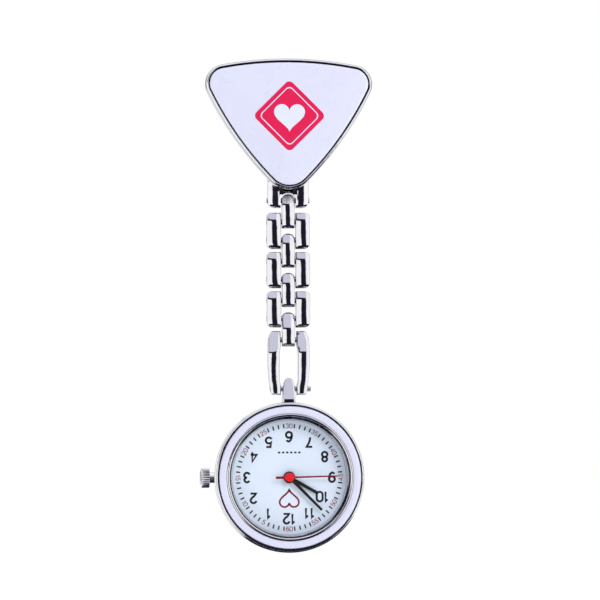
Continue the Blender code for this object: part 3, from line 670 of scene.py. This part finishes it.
tray_profile = [(2.3, 2.53), (1.9, 2.53), (1.72, 2.42), (1.6, 2.4), (0.5, 2.4), (0.3, 2.43),
                (0.14, 2.53), (0.04, 2.7), (0.0, 2.92), (0.0, 4.0), (0.02, 4.25), (0.06, 4.48),
                (0.12, 4.68), (0.2, 4.84), (0.29, 4.95), (0.37, 5.02), (0.44, 5.05), (0.5, 5.05),
                (0.55, 5.02), (0.575, 4.96), (0.58, 4.62), (1.6, 4.62)]
piece("Badge_tray", loft(badge_loops(tray_profile)), BROOCH, "brooch", *BRIGHT, "brooch_tray")

DOME_INSET, DOME_RIM, DOME_RISE, DOME_RINGS = 2.5, 5.13, 0.34, 14
loops = badge_loops([(0.83, 4.64), (0.83, 4.86), (0.85, 4.94), (0.91, 5.0), (1.03, 5.045),
                     (1.3, 5.08), (1.8, 5.11), (DOME_INSET, DOME_RIM)])
inner_loop = badge_outline(DOME_INSET)
for k in range(1, DOME_RINGS):
    share = 1 - k / DOME_RINGS
    height = DOME_RIM + DOME_RISE * (1 - share ** 2)
    loops.append([(x * share, BADGE_MIDDLE_Y + (y - BADGE_MIDDLE_Y) * share, height)
                  for x, y in inner_loop])
loops.append([(0.0, BADGE_MIDDLE_Y, DOME_RIM + DOME_RISE)])
dome = loft(loops)
dome_shape = bmesh.new()
dome_shape.from_mesh(dome)
dome_tree = BVHTree.FromBMesh(dome_shape)
dome_shape.free()
piece("Badge_enamel", dome, BROOCH, "brooch", "pale_enamel", ENAMEL, "brooch_enamel")


def draped(outline, hollow=None, lift=0.015, rings=10):
    """Thin printed shape lying on the dome, full or with a hollow of its own outline."""
    sink = -0.03
    inner = hollow or [(0.0, 0.0)] * len(outline)

    def on_dome(x, y, rise):
        y += EMBLEM_Y
        hit = dome_tree.ray_cast(Vector((x, y, 20)), Vector((0, 0, -1)))[0]
        return (x, y, hit.z + rise)

    def ring(share, rise):
        return [on_dome(a * share + c * (1 - share), b * share + d * (1 - share), rise)
                for (a, b), (c, d) in zip(outline, inner)]

    loops = [ring(1, sink)] + [ring(1 - k / rings, lift) for k in range(rings)]
    if hollow:
        return loft(loops + [ring(0, lift), ring(0, sink)], wrap=True)
    below = [ring(1 - k / rings, sink) for k in range(rings - 1, 0, -1)]
    return loft(loops + [[on_dome(0, 0, lift)], [on_dome(0, 0, sink)]] + below, wrap=True)


def diamond(half, radius):
    """Rounded diamond, its long sides split up so that it can follow the dome."""
    points = filleted([(half, 0), (0, half), (-half, 0), (0, -half)], (radius,), 10)
    result = []
    for (x0, y0), (x1, y1) in zip(points, points[1:] + points[:1]):
        parts = max(1, ceil(hypot(x1 - x0, y1 - y0) / 0.35))
        result += [(x0 + (x1 - x0) * k / parts, y0 + (y1 - y0) * k / parts) for k in range(parts)]
    return result


def heart(size, steps=72):
    """Rounded heart about its own middle, point down."""
    points = []
    for i in range(steps):
        a = 2 * pi * i / steps
        x = 16 * sin(a) ** 3
        y = 13 * cos(a) - 5 * cos(2 * a) - 2 * cos(3 * a) - cos(4 * a)
        points.append((-x * size / 32, (y + 2.5) * size / 32))
    return points


line = diamond(5.75, 0.85)
inner_line = [(x * 0.957, y * 0.957) for x, y in line]
piece("Emblem_field", draped(diamond(6.85, 0.95)), BROOCH, "brooch", "red_paint", EMBLEM_RED)
piece("Emblem_line", draped(line, inner_line, 0.025, 3), BROOCH, "brooch", *WHITE_PRINT)
piece("Emblem_heart", draped([(x, y - 0.45) for x, y in heart(5.8)], None, 0.025), BROOCH,
      "brooch", *WHITE_PRINT)

# Safety pin on the back. The needle turns about y at one end of the bar.
NEEDLE_X = -9.3
bar = slab(rounded_box((-10.5, -1.5), (10.5, 1.5), (1.0,)), 1.77, 2.37, 0.12)
for low in (0.75, -1.15):
    ear = rounded_box((-0.8, -2.17), (0.8, 0.8), (0, 0, 0.79, 0.79), 14)
    bar = fused(bar, moved(pointing("up", slab(ear, low, low + 0.4, 0.06)), NEEDLE_X))
bar = cut(bar, rod((NEEDLE_X, -2, 0), (NEEDLE_X, 2, 0), 0.43))
piece("Pin_bar", bar, BROOCH, "brooch", *BRUSHED)

rivet = lathe(eased([(0, 1.45), (0.45, 1.4), (0.62, 1.18), (0.4, 1.18), (0.4, -1.18),
                     (0.62, -1.18), (0.45, -1.4), (0, -1.45)],
                    (0, 0.1, 0.03, 0, 0, 0.03, 0.1, 0), 4), 40)
rivet = moved(pointing("up", rivet), NEEDLE_X)
piece("Needle_rivet", rivet, BROOCH, "brooch", *BRIGHT)

shaft = pointing("right", lathe([(0, 18.9), (0.03, 18.84), (0.2, 17.9), (0.31, 17.1), (0.35, 16.4),
                                 (0.35, 0.4), (0, 0.4)], 24))
eye = rod((0, -0.7, 0), (0, 0.7, 0), 0.85, 0.12, 40)
needle = cut(fused(eye, shaft), rod((0, -2, 0), (0, 2, 0), 0.45))
piece("Needle", needle, joint_at["needle_hinge"], "needle", *BRIGHT)


def catch_part(profile, radius, addition, mouth):
    """Turned shell along x with something joined on and a mouth cut for the needle."""
    shell = pointing("right", lathe(filleted(profile, (radius,), 3), 72))
    return cut(fused(shell, addition), slab(rounded_box(*mouth, (0.05,)), -3, 0))


foot = pointing("right", slab(rounded_box((-1.74, -0.9), (-1.25, 0.9), (0.08,)), 8.2, 9.4, 0.08))
shell = catch_part([(1.5, 9.4), (1.5, 8.2), (1.05, 8.2), (1.05, 9.4)], 0.1, foot,
                   ((7.5, -0.55), (10, 0.55)))
piece("Catch_shell", shell, BROOCH, "brooch", *BRUSHED)

tab = slab(rounded_box((9.5, 0.8), (10.2, 2.6), (0.1, 0.1, 0.3, 0.3)), -0.3, 0.3, 0.08)
sleeve = catch_part([(1.0, 10.4), (1.0, 9.85), (1.4, 9.85), (1.4, 9.5), (1.0, 9.5), (1.0, 8.0),
                     (0.58, 8.0), (0.58, 10.4)], 0.06, tab, ((7.5, -0.5), (11, 0.5)))
piece("Catch_sleeve", sleeve, BROOCH, "catch", *BRIGHT)


# ---- Chain


FAR = 9.0    # beyond any edge, for curves that turn away


def chain_pin(name, place, body, drop, low, high):
    mesh = rod((low, drop, 0), (high, drop, 0), PIN_RADIUS, 0.12, 40)
    piece(name, mesh, place, body, *BRUSHED)


def drilled(bar, pitch):
    """Bar with a hole for a pin at its origin and another one pitch below."""
    holes = [rod((-6, y, 0), (6, y, 0), PIN_RADIUS + 0.04, 0, 40) for y in (0, -pitch)]
    return cut(bar, *holes)


def front_run(low, high, cap, slope, foot, bulge=0.0, brow=0.32):
    """Front line of a strap in side view: round foot, straight, sloping cap, round top."""
    crest = HALF_DEPTH + bulge
    points = [(low, -FAR), (low, HALF_DEPTH), (high - cap, crest), (high, crest - slope),
              (high, -FAR)]
    return eased(points, (0, foot, 3.0, brow, 0), 8)[1:-1]


def mirrored(curve):
    return [(y, -x) for y, x in curve]


def side_bar(sign, low, high, inner, outer, front, back=-HALF_DEPTH, crown=22.0, lean=(0, 0)):
    """Bar to the right of the middle where sign is 1, or its mirror image where it is -1."""
    edges = (inner, outer) if sign > 0 else (mirrored(outer), mirrored(inner))
    depths = run(low, high, back, FAR, 0.5, 0.5), front_run(low, high, *front)
    return crowned_bar(*edges, *depths, 0.3, crown, lean)


def fork_leg(sign):
    low, high = -20.4, -13.65
    inner = run(low, high, 1.0, FAR, 0.1, 0.1)
    outer = run(low, high, 3.85, -FAR, 1.25, 0.8)
    leg = side_bar(sign, low, high, inner, outer, (1.5, 0.42, 0.8), -1.1, 20)
    return moved(leg, f=CHAIN_MIDDLE)


def outer_strap(pitch, sign, lean):
    low, high = -pitch - 1.7, 1.7
    inner = run(low, high, 1.37, FAR, 0.12, 0.12)
    outer = run(low, high, 4.05, -FAR, 1.05, 0.75)
    return drilled(side_bar(sign, low, high, inner, outer, (1.2, 0.42, 0.85), lean=lean), pitch)


def centre_strap(pitch, cap, slope, lean):
    low, high = -pitch - 1.24, 1.24
    front = front_run(low, high, cap, slope, 0.8, brow=0.75)
    back = run(low, high, -HALF_DEPTH, FAR, 0.8, 0.75)
    right = run(low, high, 1.2, -FAR, 0.18, 1.12)
    return drilled(crowned_bar(mirrored(right), right, back, front, 0.28, lean=lean), pitch)


def end_strap(pitch, sign, lean):
    """Long leg of the end link: hollow inner edge, foot drawn in towards the lug."""
    top, foot = 1.66, -pitch - 1.17
    inner = eased([(foot, 1.5), (foot + 1.6, 1.5), (foot + 3.0, 1.75), (-2.5, 1.75),
                   (-1.1, 1.5), (top, 1.5)], (2.0,), 8)
    outer = eased([(foot, -FAR), (foot, 3.08), (foot + 0.4, 3.35), (foot + 3.0, 3.75),
                   (foot + 6.0, 3.95), (-0.5, 3.88), (top - 0.8, 3.6), (top, 3.2), (top, -FAR)],
                  (0, 0.35, 0.5, 3.0, 3.0, 2.0, 0.8, 0.4, 0), 8)[1:-1]
    bar = side_bar(sign, foot, top, inner, outer, (4.1, 0.9, 0.4, 0.27), crown=17, lean=lean)
    return drilled(bar, pitch)


SLOT_TOP = -17.62
bridge = [(0.1, -17.9), (2.22, -17.9), (2.26, -17.75), (1.36, -14.6), (1.2, -13.9), (0.1, -13.9)]
fork = fused(fork_leg(-1), fork_leg(1), pointing("left", slab(bridge, -1.7, 1.7)))
slot = rounded_box((-1.45, -21.4), (1.45, SLOT_TOP), (0, 0, 1.25, 1.25), 10)
fork = cut(fork, slab(slot, -1, 4),
           rod((-5, PIN_HEIGHTS[0], CHAIN_MIDDLE), (5, PIN_HEIGHTS[0], CHAIN_MIDDLE),
               PIN_RADIUS + 0.03, 0, 40))
fork = piece("Chain_fork", fork, BROOCH, "brooch", "bright_steel", CHROME_UNSHADED)
# The walls of the slot take the chrome with painted shade, which darkens the arch round the first
# link; the rest of the fork paints none.
second_finish(fork, CHROME, lambda face: abs(face.center.x) < 1.6 * MM
              and face.center.z < (SLOT_TOP + 0.07) * MM and abs(face.normal.y) < 0.3)

chain_pin("Fork_pin", joint_at["centre_link_1_swing"], "brooch", 0, -4.05, 4.05)
pitches = [upper - lower for upper, lower in zip(PIN_HEIGHTS, PIN_HEIGHTS[1:])]

# Cap length and drop of each centre link, and how its front leans at the foot and at the top.
CENTRE_LINKS = [(1.75, 0.65, (0.0, -7.0)), (1.7, 0.65, (0.0, -6.0)), (1.9, 0.7, (1.0, -5.0)),
                (3.1, 0.8, (2.0, -2.0))]
centre_links = []
for number, (cap, slope, lean) in enumerate(CENTRE_LINKS, 1):
    body = f"centre_link_{number}"
    strap = centre_strap(pitches[2 * number - 2], cap, slope, lean)
    centre_links.append(piece(body.capitalize(), strap, joint_at[body + "_swing"], body, *BRIGHT))
# The cap of the first one, which would mirror the dark hollow under the badge.
second_finish(centre_links[0], SATIN,
              lambda face: face.center.z > -0.5 * MM and face.normal.y < -0.3)

# How the front of each left and right strap leans at the foot and at the top.
OUTER_LEANS = [((7.0, -2.0), (6.0, 0.0)), ((6.0, -3.0), (5.0, -1.0)), ((3.0, -2.0), (6.0, 1.0))]
for number, leans in enumerate(OUTER_LEANS, 1):
    body = f"outer_link_{number}"
    place, pitch = joint_at[body + "_swing"], pitches[2 * number - 1]
    for side, sign, lean in (("left", -1, leans[0]), ("right", 1, leans[1])):
        piece(f"Outer_link_{number}_{side}", outer_strap(pitch, sign, lean), place, body, *BRIGHT)
    for letter, drop in (("a", 0.0), ("b", -pitch)):
        chain_pin(f"Link_pin_{number}{letter}", place, body, drop, -4.02, 4.02)

place = joint_at["end_link_swing"]
for side, sign, lean in (("left", -1, (-3.0, 3.0)), ("right", 1, (0.0, 0.0))):
    piece(f"End_link_{side}", end_strap(pitches[7], sign, lean), place, "end_link", *BRIGHT)
chain_pin("End_link_pin", place, "end_link", 0, -3.8, 3.8)
chain_pin("Lug_bar", place, "end_link", -pitches[7], -3.3, 4.18)


# ---- Watch case

FINE = 192    # steps round the largest turned pieces

case = lathe(filleted([(13.55, 1.9), (13.76, 1.88), (14.06, 1.62), (13.72, -2.4), (13.25, -3.7),
                       (13.0, -3.7), (13.0, -3.06), (12.3, -3.06), (12.3, 1.9)],
                      (0.0, 0.1, 0.3, 0.3, 0.1, 0.05, 0, 0, 0.05)), FINE)
lug_half = eased([(12.9, 1.3), (15.2, 1.2), (16.6, 1.08), (17.6, 0.95), (18.25, 0.72),
                  (18.6, 0.32)], (0, 1.0, 1.0, 0.6, 0.4, 0), 6)
lug_front = eased([(12.9, 1.7), (14.6, 1.7), (17.8, 1.0), (18.6, 0.8), (18.6, -FAR)],
                  (0, 0.25, 0.6, 0.6, 0), 8)[:-1]
lug = crowned_bar(mirrored(lug_half), lug_half, run(12.9, 18.6, -HALF_DEPTH, FAR, 0.0, 0.8),
                  lug_front, 0.22, 9)
case = cut(fused(case, lug),
           rod((-3, LUG_PIN_Y, 0), (3, LUG_PIN_Y, 0), PIN_RADIUS + 0.05, 0, 40),
           rod((-16, 0, -0.9), (-11, 0, -0.9), 1.03, 0, 40))
piece("Watch_case", case, WATCH, "watch", *BRIGHT)

bezel = [(13.25, 3.59), (13.27, 3.62), (13.57, 3.62), (13.63, 3.6), (13.69, 3.54),
         (13.73, 3.44), (13.74, 3.3), (13.74, 1.92), (12.25, 1.92), (12.25, 1.2), (11.95, 1.2),
         (11.95, 2.45), (10.9, 2.45), (11.24, 2.66), (11.29, 3.58), (11.36, 3.68),
         (11.46, 3.735), (11.58, 3.75), (11.70, 3.735), (11.79, 3.68), (11.84, 3.58),
         (11.86, 3.2), (13.25, 3.2)]
bezel = piece("Bezel", lathe(bezel, FINE), WATCH, "watch", *BRIGHT)
INNER_FACES = 11.3 * MM
second_finish(bezel, REHAUT,
              lambda face: hypot(face.center.x, face.center.z) < INNER_FACES)

ring = [(13.12, 3.585), (13.2, 3.54), (13.23, 3.45), (13.23, 3.23), (11.87, 3.23), (11.87, 3.5),
        (11.9, 3.56), (11.98, 3.595), (12.25, 3.63), (12.6, 3.64), (12.95, 3.625)]
piece("Bezel_enamel", lathe(ring, FINE), WATCH, "watch", "pale_enamel", ENAMEL)

crystal = [(0, 3.86), (3, 3.85), (6, 3.82), (8.5, 3.775), (10.4, 3.715), (10.95, 3.67),
           (11.15, 3.6), (11.24, 3.5), (11.25, 2.72), (11.21, 2.68), (0, 2.68)]
piece("Crystal", lathe(crystal, FINE), WATCH, "watch", "clear_crystal", GLASS)

rehaut = [(10.88, 2.42), (11.9, 2.42), (11.9, 0.95), (10.6, 0.95), (10.6, 1.02), (10.64, 1.1),
          (10.86, 1.42), (10.88, 1.5)]
piece("Rehaut", lathe(rehaut, FINE), WATCH, "watch", "dark_steel", REHAUT, "rehaut_ring")

back = eased([(0, -3.05), (11.6, -3.05), (11.6, -2.5), (12.2, -2.5), (12.2, -3.1), (12.95, -3.1),
              (12.95, -3.6), (12.75, -3.8), (11.3, -3.8), (11.2, -3.74), (10.9, -3.74),
              (10.8, -3.8), (0, -3.8)],
             (0, 0.05, 0.05, 0.05, 0.05, 0.05, 0.15, 0.1, 0.03, 0.04, 0.04, 0.03, 0), 4)
notch = moved(slab(circle(1.1, 32), -4, -3.55), 0, -13.65)
piece("Case_back", cut(lathe(back, FINE), notch), WATCH, "watch", "brushed_steel", BACK_STEEL)

tube = filleted([(1.0, 15.5), (1.0, 12.4), (0.6, 12.4), (0.6, 15.5)], (0.05,), 3)
piece("Crown_tube", pointing("left", lathe(tube, 48)), CROWN, "watch", "brushed_steel",
      CHROME_DULL)

grip = toothed(26, 1.68, 1.88)
crown_loops = [[(x * share, y * share, height) for x, y in grip]
               for height, share in ((14.8, 0.9), (14.83, 0.96), (14.9, 1.0), (16.2, 1.0),
                                     (16.32, 0.97), (16.38, 0.92))]
crown_loops += [[(x, y, height) for x, y in circle(radius, len(grip))]
                for height, radius in ((16.4, 1.62), (16.44, 1.5), (16.55, 1.3), (16.6, 1.1),
                                       (16.61, 0.6))]
crown = loft(crown_loops + [[(0, 0, 16.61)]])
crown = cut(crown, rod((0, 0, 13.8), (0, 0, 15.9), 1.15, 0, 48),
            rod((0, 0, 15), (0, 0, 16.15), 0.48, 0, 32))
piece("Crown", pointing("left", crown), CROWN, "crown_and_stem", "bright_steel", CHROME_DULL)


# ---- Dial

dial = filleted([(11.6, 0.5), (11.6, DIAL_FACE), (0.95, DIAL_FACE), (0.95, 0.5)], (0.04,), 3)
piece("Dial", lathe(dial, 128), WATCH, "watch", "dial_paint", DIAL)

# Each digit is a set of strokes in a box one unit high and about 0.6 wide.
DIGITS = {
    "0": [arc(0.29, 0.71, 0.29, 0, 180, 12) + arc(0.29, 0.29, 0.29, 180, 360, 12)
          + [(0.58, 0.71)]],
    "1": [[(0.06, 0.80), (0.17, 0.86), (0.27, 1.0), (0.27, 0.0)]],
    "2": [arc(0.28, 0.72, 0.28, 170, -28, 14)
          + [(0.42, 0.44), (0.2, 0.25), (0.04, 0.0), (0.58, 0.0)]],
    "3": [arc(0.27, 0.755, 0.245, 160, -90, 14), arc(0.27, 0.265, 0.265, 90, -165, 16)],
    "4": [[(0.6, 0.27), (0.0, 0.27), (0.44, 1.0), (0.44, 0.0)]],
    "5": [[(0.54, 1.0), (0.13, 1.0), (0.05, 0.52)] + arc(0.28, 0.32, 0.31, 128, -150, 16)],
    "6": [arc(0.30, 0.74, 0.26, 25, 90, 6)
          + [(0.14, 0.86), (0.05, 0.66), (0.015, 0.42), (0.02, 0.3)]
          + arc(0.30, 0.30, 0.29, 180, 360, 14) + arc(0.30, 0.32, 0.29, 0, 160, 10)],
    "7": [[(0.0, 1.0), (0.56, 1.0), (0.38, 0.68), (0.26, 0.36), (0.2, 0.0)]],
    "8": [arc(0.29, 0.765, 0.235, -90, 270, 20), arc(0.29, 0.265, 0.265, 90, 450, 22)],
    "9": [arc(0.28, 0.26, 0.26, 205, 270, 6)
          + [(0.44, 0.14), (0.53, 0.34), (0.565, 0.58), (0.56, 0.7)]
          + arc(0.28, 0.70, 0.28, 0, 180, 14) + arc(0.28, 0.68, 0.28, 180, 340, 10)],
}
DIGIT_WIDTH = 0.58
DIGIT_WIDTHS = {"1": 0.36}
DIGIT_GAP = 0.20
DIGIT_STRETCH = 1.07


def stroke(points, width, low, high):
    """Flat printed line of even width along some points."""
    left, right = [], []
    for i, point in enumerate(points):
        here = Vector(point)
        before = Vector(points[max(i - 1, 0)])
        after = Vector(points[min(i + 1, len(points) - 1)])
        back, ahead = here - before, after - here
        back, ahead = (back if back.length > TINY else ahead,
                       ahead if ahead.length > TINY else back)
        back, ahead = back.normalized(), ahead.normalized()
        side = Vector((-back.y - ahead.y, back.x + ahead.x)).normalized()
        reach = width / 2 / max(0.55, side.dot(Vector((-ahead.y, ahead.x))))
        left.append(here + side * reach)
        right.append(here - side * reach)
    return loft([[(*a, low), (*b, low), (*b, high), (*a, high)] for a, b in zip(left, right)])


def printed(name, meshes, slot, material):
    piece(name, joined(meshes), WATCH, "watch", slot, material)


LOW, HIGH = DIAL_FACE - 0.01, DIAL_FACE + PRINT_LIFT


def numeral(text, radius, hour, height, width, upright):
    """Number at an hour's place on the dial, upright for the wearer or along the rim."""
    way = 180 + 30 * hour
    (x, y), = turned([(0, radius)], way)
    spin = 180
    if not upright:
        spin = way if -90 < (way + 180) % 360 - 180 < 90 else way + 180
    widths = [DIGIT_WIDTHS.get(c, DIGIT_WIDTH) for c in text]
    start = -(sum(widths) + DIGIT_GAP * (len(text) - 1)) / 2
    made = []
    for c, digit_width in zip(text, widths):
        for line in DIGITS[c]:
            line = [((start + a) * height * DIGIT_STRETCH, (b - 0.5) * height) for a, b in line]
            line = [(a + x, b + y) for a, b in turned(line, spin)]
            made.append(stroke(line, width, LOW, HIGH))
        start += digit_width + DIGIT_GAP
    return made


tick = rounded_box((-0.13, 9.2), (0.13, 10.0), (0.03,), 2)
ticks = [slab(turned(tick, 180 + 6 * minute), LOW, HIGH) for minute in range(60) if minute % 5]
printed("Minute_ticks", ticks, *BLACK_PRINT)

# How far each hour numeral stands from the middle, from 1 to 12.
HOUR_RADII = (7.7, 7.75, 7.95, 7.65, 7.6, 7.6, 7.6, 7.7, 8.0, 7.2, 7.65, 7.7)
hours, minutes = [], []
for hour, radius in enumerate(HOUR_RADII, 1):
    hours += numeral(str(hour), radius, hour, 1.78, 0.40, True)
    minutes += numeral(str(5 * hour), 9.6, hour, 0.80, 0.13, False)
printed("Hour_numerals", hours, *BLACK_PRINT)
printed("Minute_numerals", minutes, *RED_PRINT)

outline = [(x, y - 3.9) for x, y in turned(heart(3.6), 180)]
printed("Dial_heart", [stroke(outline + outline[:1], 0.34, LOW, HIGH)], *RED_PRINT)

DASH_STEP = 0.76
dashes = []
for i in range(6):
    shift = DASH_STEP * i
    dash = rounded_box((-2.1 + shift, 4.48), (-1.66 + shift, 4.82), (0.06,), 2)
    dashes.append(slab(dash, LOW, HIGH))
printed("Dial_dashes", dashes, *BLACK_PRINT)


# ---- Hands

hub = lathe(eased([(0, 2.2), (0.3, 2.2), (0.36, 2.12), (0.42, 2.22), (0.74, 2.22),
                   (SECOND_HUB, 2.12), (SECOND_HUB, 1.9), (0.3, 1.9), (0.3, 1.82), (0, 1.82)],
                  (0, 0.03, 0.02, 0.03, 0.06, 0.05, 0.02, 0, 0.02, 0), 4), 48)
# Each hand's outline, its angle, its depths with the rounding of its edges, and its finish.
HANDS = {
    "hour": (hand_outline(6.0, 0.68, 0.56, 1.12), 118.9, (1.15, 1.3, 0.04), BLACK_PRINT),
    "minute": (hand_outline(8.6, 0.6, 0.46, 1.0), 135.2, (1.55, 1.7, 0.04), BLACK_PRINT),
    "second": (hand_outline(9.0, 0.34, 0.25, SECOND_HUB, 2.6, 0.46), 88.55, (1.93, 2.05, 0.03),
               ("red_paint", RED)),
}
for name, (outline, angle, depths, finish) in HANDS.items():
    hand = slab(turned(outline, angle), *depths)
    if name == "second":
        hand = fused(hand, hub)
    piece(f"{name.capitalize()}_hand", hand, WATCH, name + "s", *finish)


# ---- Hidden works

BRASS = turned_metal("movement_brass", (0.78, 0.58, 0.26), 0.2, 0.38)
NYLON = ((0.78, 0.78, 0.72), (0.66, 0.66, 0.60), 0.0, 0.3, 0.5)
WORKS = {
    **dict.fromkeys(("main_plate", "train_bridge", "third_wheel", "centre_wheel", "minute_wheel",
                     "hour_wheel"), BRASS),
    "movement_ring": grained("white_moulding", (0.74, 0.74, 0.71), (0.60, 0.60, 0.57)),
    "intermediate_wheel": grained("nylon", *NYLON),
    "seconds_wheel": grained("nylon_seconds", *NYLON),
    "coil": brushed("copper_winding", (0.72, 0.33, 0.16), 0.25, 0.45, (14, 0.4, 0.4), 0.03),
    "stator": brushed("soft_iron", (0.46, 0.46, 0.48), 0.35, 0.55),
    "circuit_board": grained("board_green", (0.02, 0.20, 0.09), (0.01, 0.13, 0.06), 0.0, 0.3, 0.5),
    "battery": turned_metal("cell_can", (0.72, 0.72, 0.73)),
    "battery_strap": brushed("strap_steel", (0.62, 0.62, 0.64)),
    "rotor": grained("magnet", (0.16, 0.16, 0.18), (0.10, 0.10, 0.11), 1.0, 0.4, 0.6),
    "cannon_pinion": brushed("pinion_steel", (0.66, 0.66, 0.68), 0.15, 0.3),
    "setting_wheel": brushed("wheel_steel", (0.34, 0.34, 0.36), 0.25, 0.45),
    "clutch_pinion": brushed("clutch_steel", (0.60, 0.60, 0.62), 0.2, 0.4),
    "winding_stem": brushed("stem_steel", (0.62, 0.62, 0.64), 0.2, 0.4),
}
for name, material in WORKS.items():
    mesh = frame["nodes"][name].data
    for i in range(len(mesh.materials)):
        mesh.materials[i] = material


# ======== studio


FLOOR_Z = -0.125
FLOOR_RADIUS = 900
floor_mesh = slab(circle(FLOOR_RADIUS, 96), -6, 0, 1.0)
floor_mesh.transform(Matrix.Scale(MM, 4))
floor = placed("floor", floor_mesh, (0, 0, FLOOR_Z))
paper = Recipe("floor_paper", Roughness=0.9, Emission_Color=(1, 1, 1, 1), Emission_Strength=0.3)
tone = paper.mixed(paper.noise(0.02, 3), (0.93, 0.93, 0.94), (0.95, 0.95, 0.95))
paper.link(tone, paper.shader.inputs["Base Color"])
floor_mesh.materials.append(paper.material)
floor.visible_glossy = False

world = bpy.data.worlds.new("studio")
bpy.context.scene.world = world
world.use_nodes = True
sky = Graph(world.node_tree)
direction = sky.node("SeparateXYZ")
sky.link(sky.node("TexCoord").outputs["Generated"], direction.inputs[0])


def patch(*limits):
    """Part of the sky inside soft limits, each a source with its end at 0 and its end at 1."""
    share = None
    for source, start, end in limits:
        ramp = sky.ranged(source, 0, 1, start, end, 'SMOOTHSTEP')
        share = sky.math('MULTIPLY', share, ramp) if share else ramp
    return share


WHITE, SOFTBOX = (1.0, 1.0, 1.0), (1.16, 1.16, 1.16)
CEILING, DARK = (0.76, 0.76, 0.88), (0.014, 0.013, 0.024)
REAR = (0.88, 0.88, 0.93)
BEHIND_SHARE = 0.84
across, depth, height = direction.outputs
off_axis = sky.math('ABSOLUTE', sky.math('SUBTRACT', across, 0.06))
ahead = patch((off_axis, 0.34, 0.27), (depth, -0.3, -0.4))
behind = sky.math('MULTIPLY', patch((depth, 0.3, 0.45)), BEHIND_SHARE)
corner = patch((height, 0.13, 0.17), (across, 0.06, 0.0), (depth, -0.3, -0.4))
unlit = sky.math('MAXIMUM', sky.math('MAXIMUM', ahead, behind), corner)
above = patch((height, 0.34, 0.38), (height, 0.86, 0.80), (across, 0.42, 0.32),
              (across, -0.65, -0.55))
overhead = patch((height, 0.84, 0.88), (depth, 0.42, 0.3))
below = patch((height, -0.44, -0.54), (across, -0.62, -0.5))
low_rear = patch((height, -0.06, -0.16), (height, -0.52, -0.42), (depth, 0.42, 0.62))
rear = sky.math('MAXIMUM', low_rear, patch((depth, 0.78, 0.98)))
look = SOFTBOX
for share, colour in ((unlit, DARK), (above, CEILING), (overhead, SOFTBOX), (below, DARK),
                      (rear, REAR)):
    look = sky.mixed(share, look, colour)
is_camera = sky.node("LightPath").outputs["Is Camera Ray"]
sky.link(sky.mixed(is_camera, look, WHITE), sky.tree.nodes["Background"].inputs["Color"])

MIDDLE = Vector((0.00232, 0.0, -0.0376))


def lamp(name, location, size, power):
    """Large soft light aimed at the middle of the object."""
    light = bpy.data.lights.new(name, 'AREA')
    light.shape, light.size, light.energy = 'DISK', size, power
    obj = placed(name, light, location)
    obj.rotation_euler = (MIDDLE - Vector(location)).to_track_quat('-Z', 'Y').to_euler()
    obj.visible_glossy = False


lamp("key", (0.35, -0.55, 0.35), 0.35, 3.0)
lamp("fill", (-0.5, 0.45, 0.2), 0.4, 1.5)


# ======== camera


AZIMUTH, ELEVATION, ROLL, DISTANCE = -5.0, -3.0, -0.2, 0.6267
a, e = radians(AZIMUTH), radians(ELEVATION)
away = Vector((sin(a) * cos(e), -cos(a) * cos(e), sin(e)))
camera_data = bpy.data.cameras.new("camera")
camera_data.lens, camera_data.sensor_width, camera_data.clip_start = 200, 36, 0.01
camera = placed("camera", camera_data, MIDDLE + away * DISTANCE)
aimed = (-away).to_track_quat('-Z', 'Y').to_matrix() @ Matrix.Rotation(radians(ROLL), 3, 'Z')
camera.rotation_euler = aimed.to_euler()
bpy.context.scene.camera = camera
bpy.context.scene.view_settings.view_transform = 'Standard'
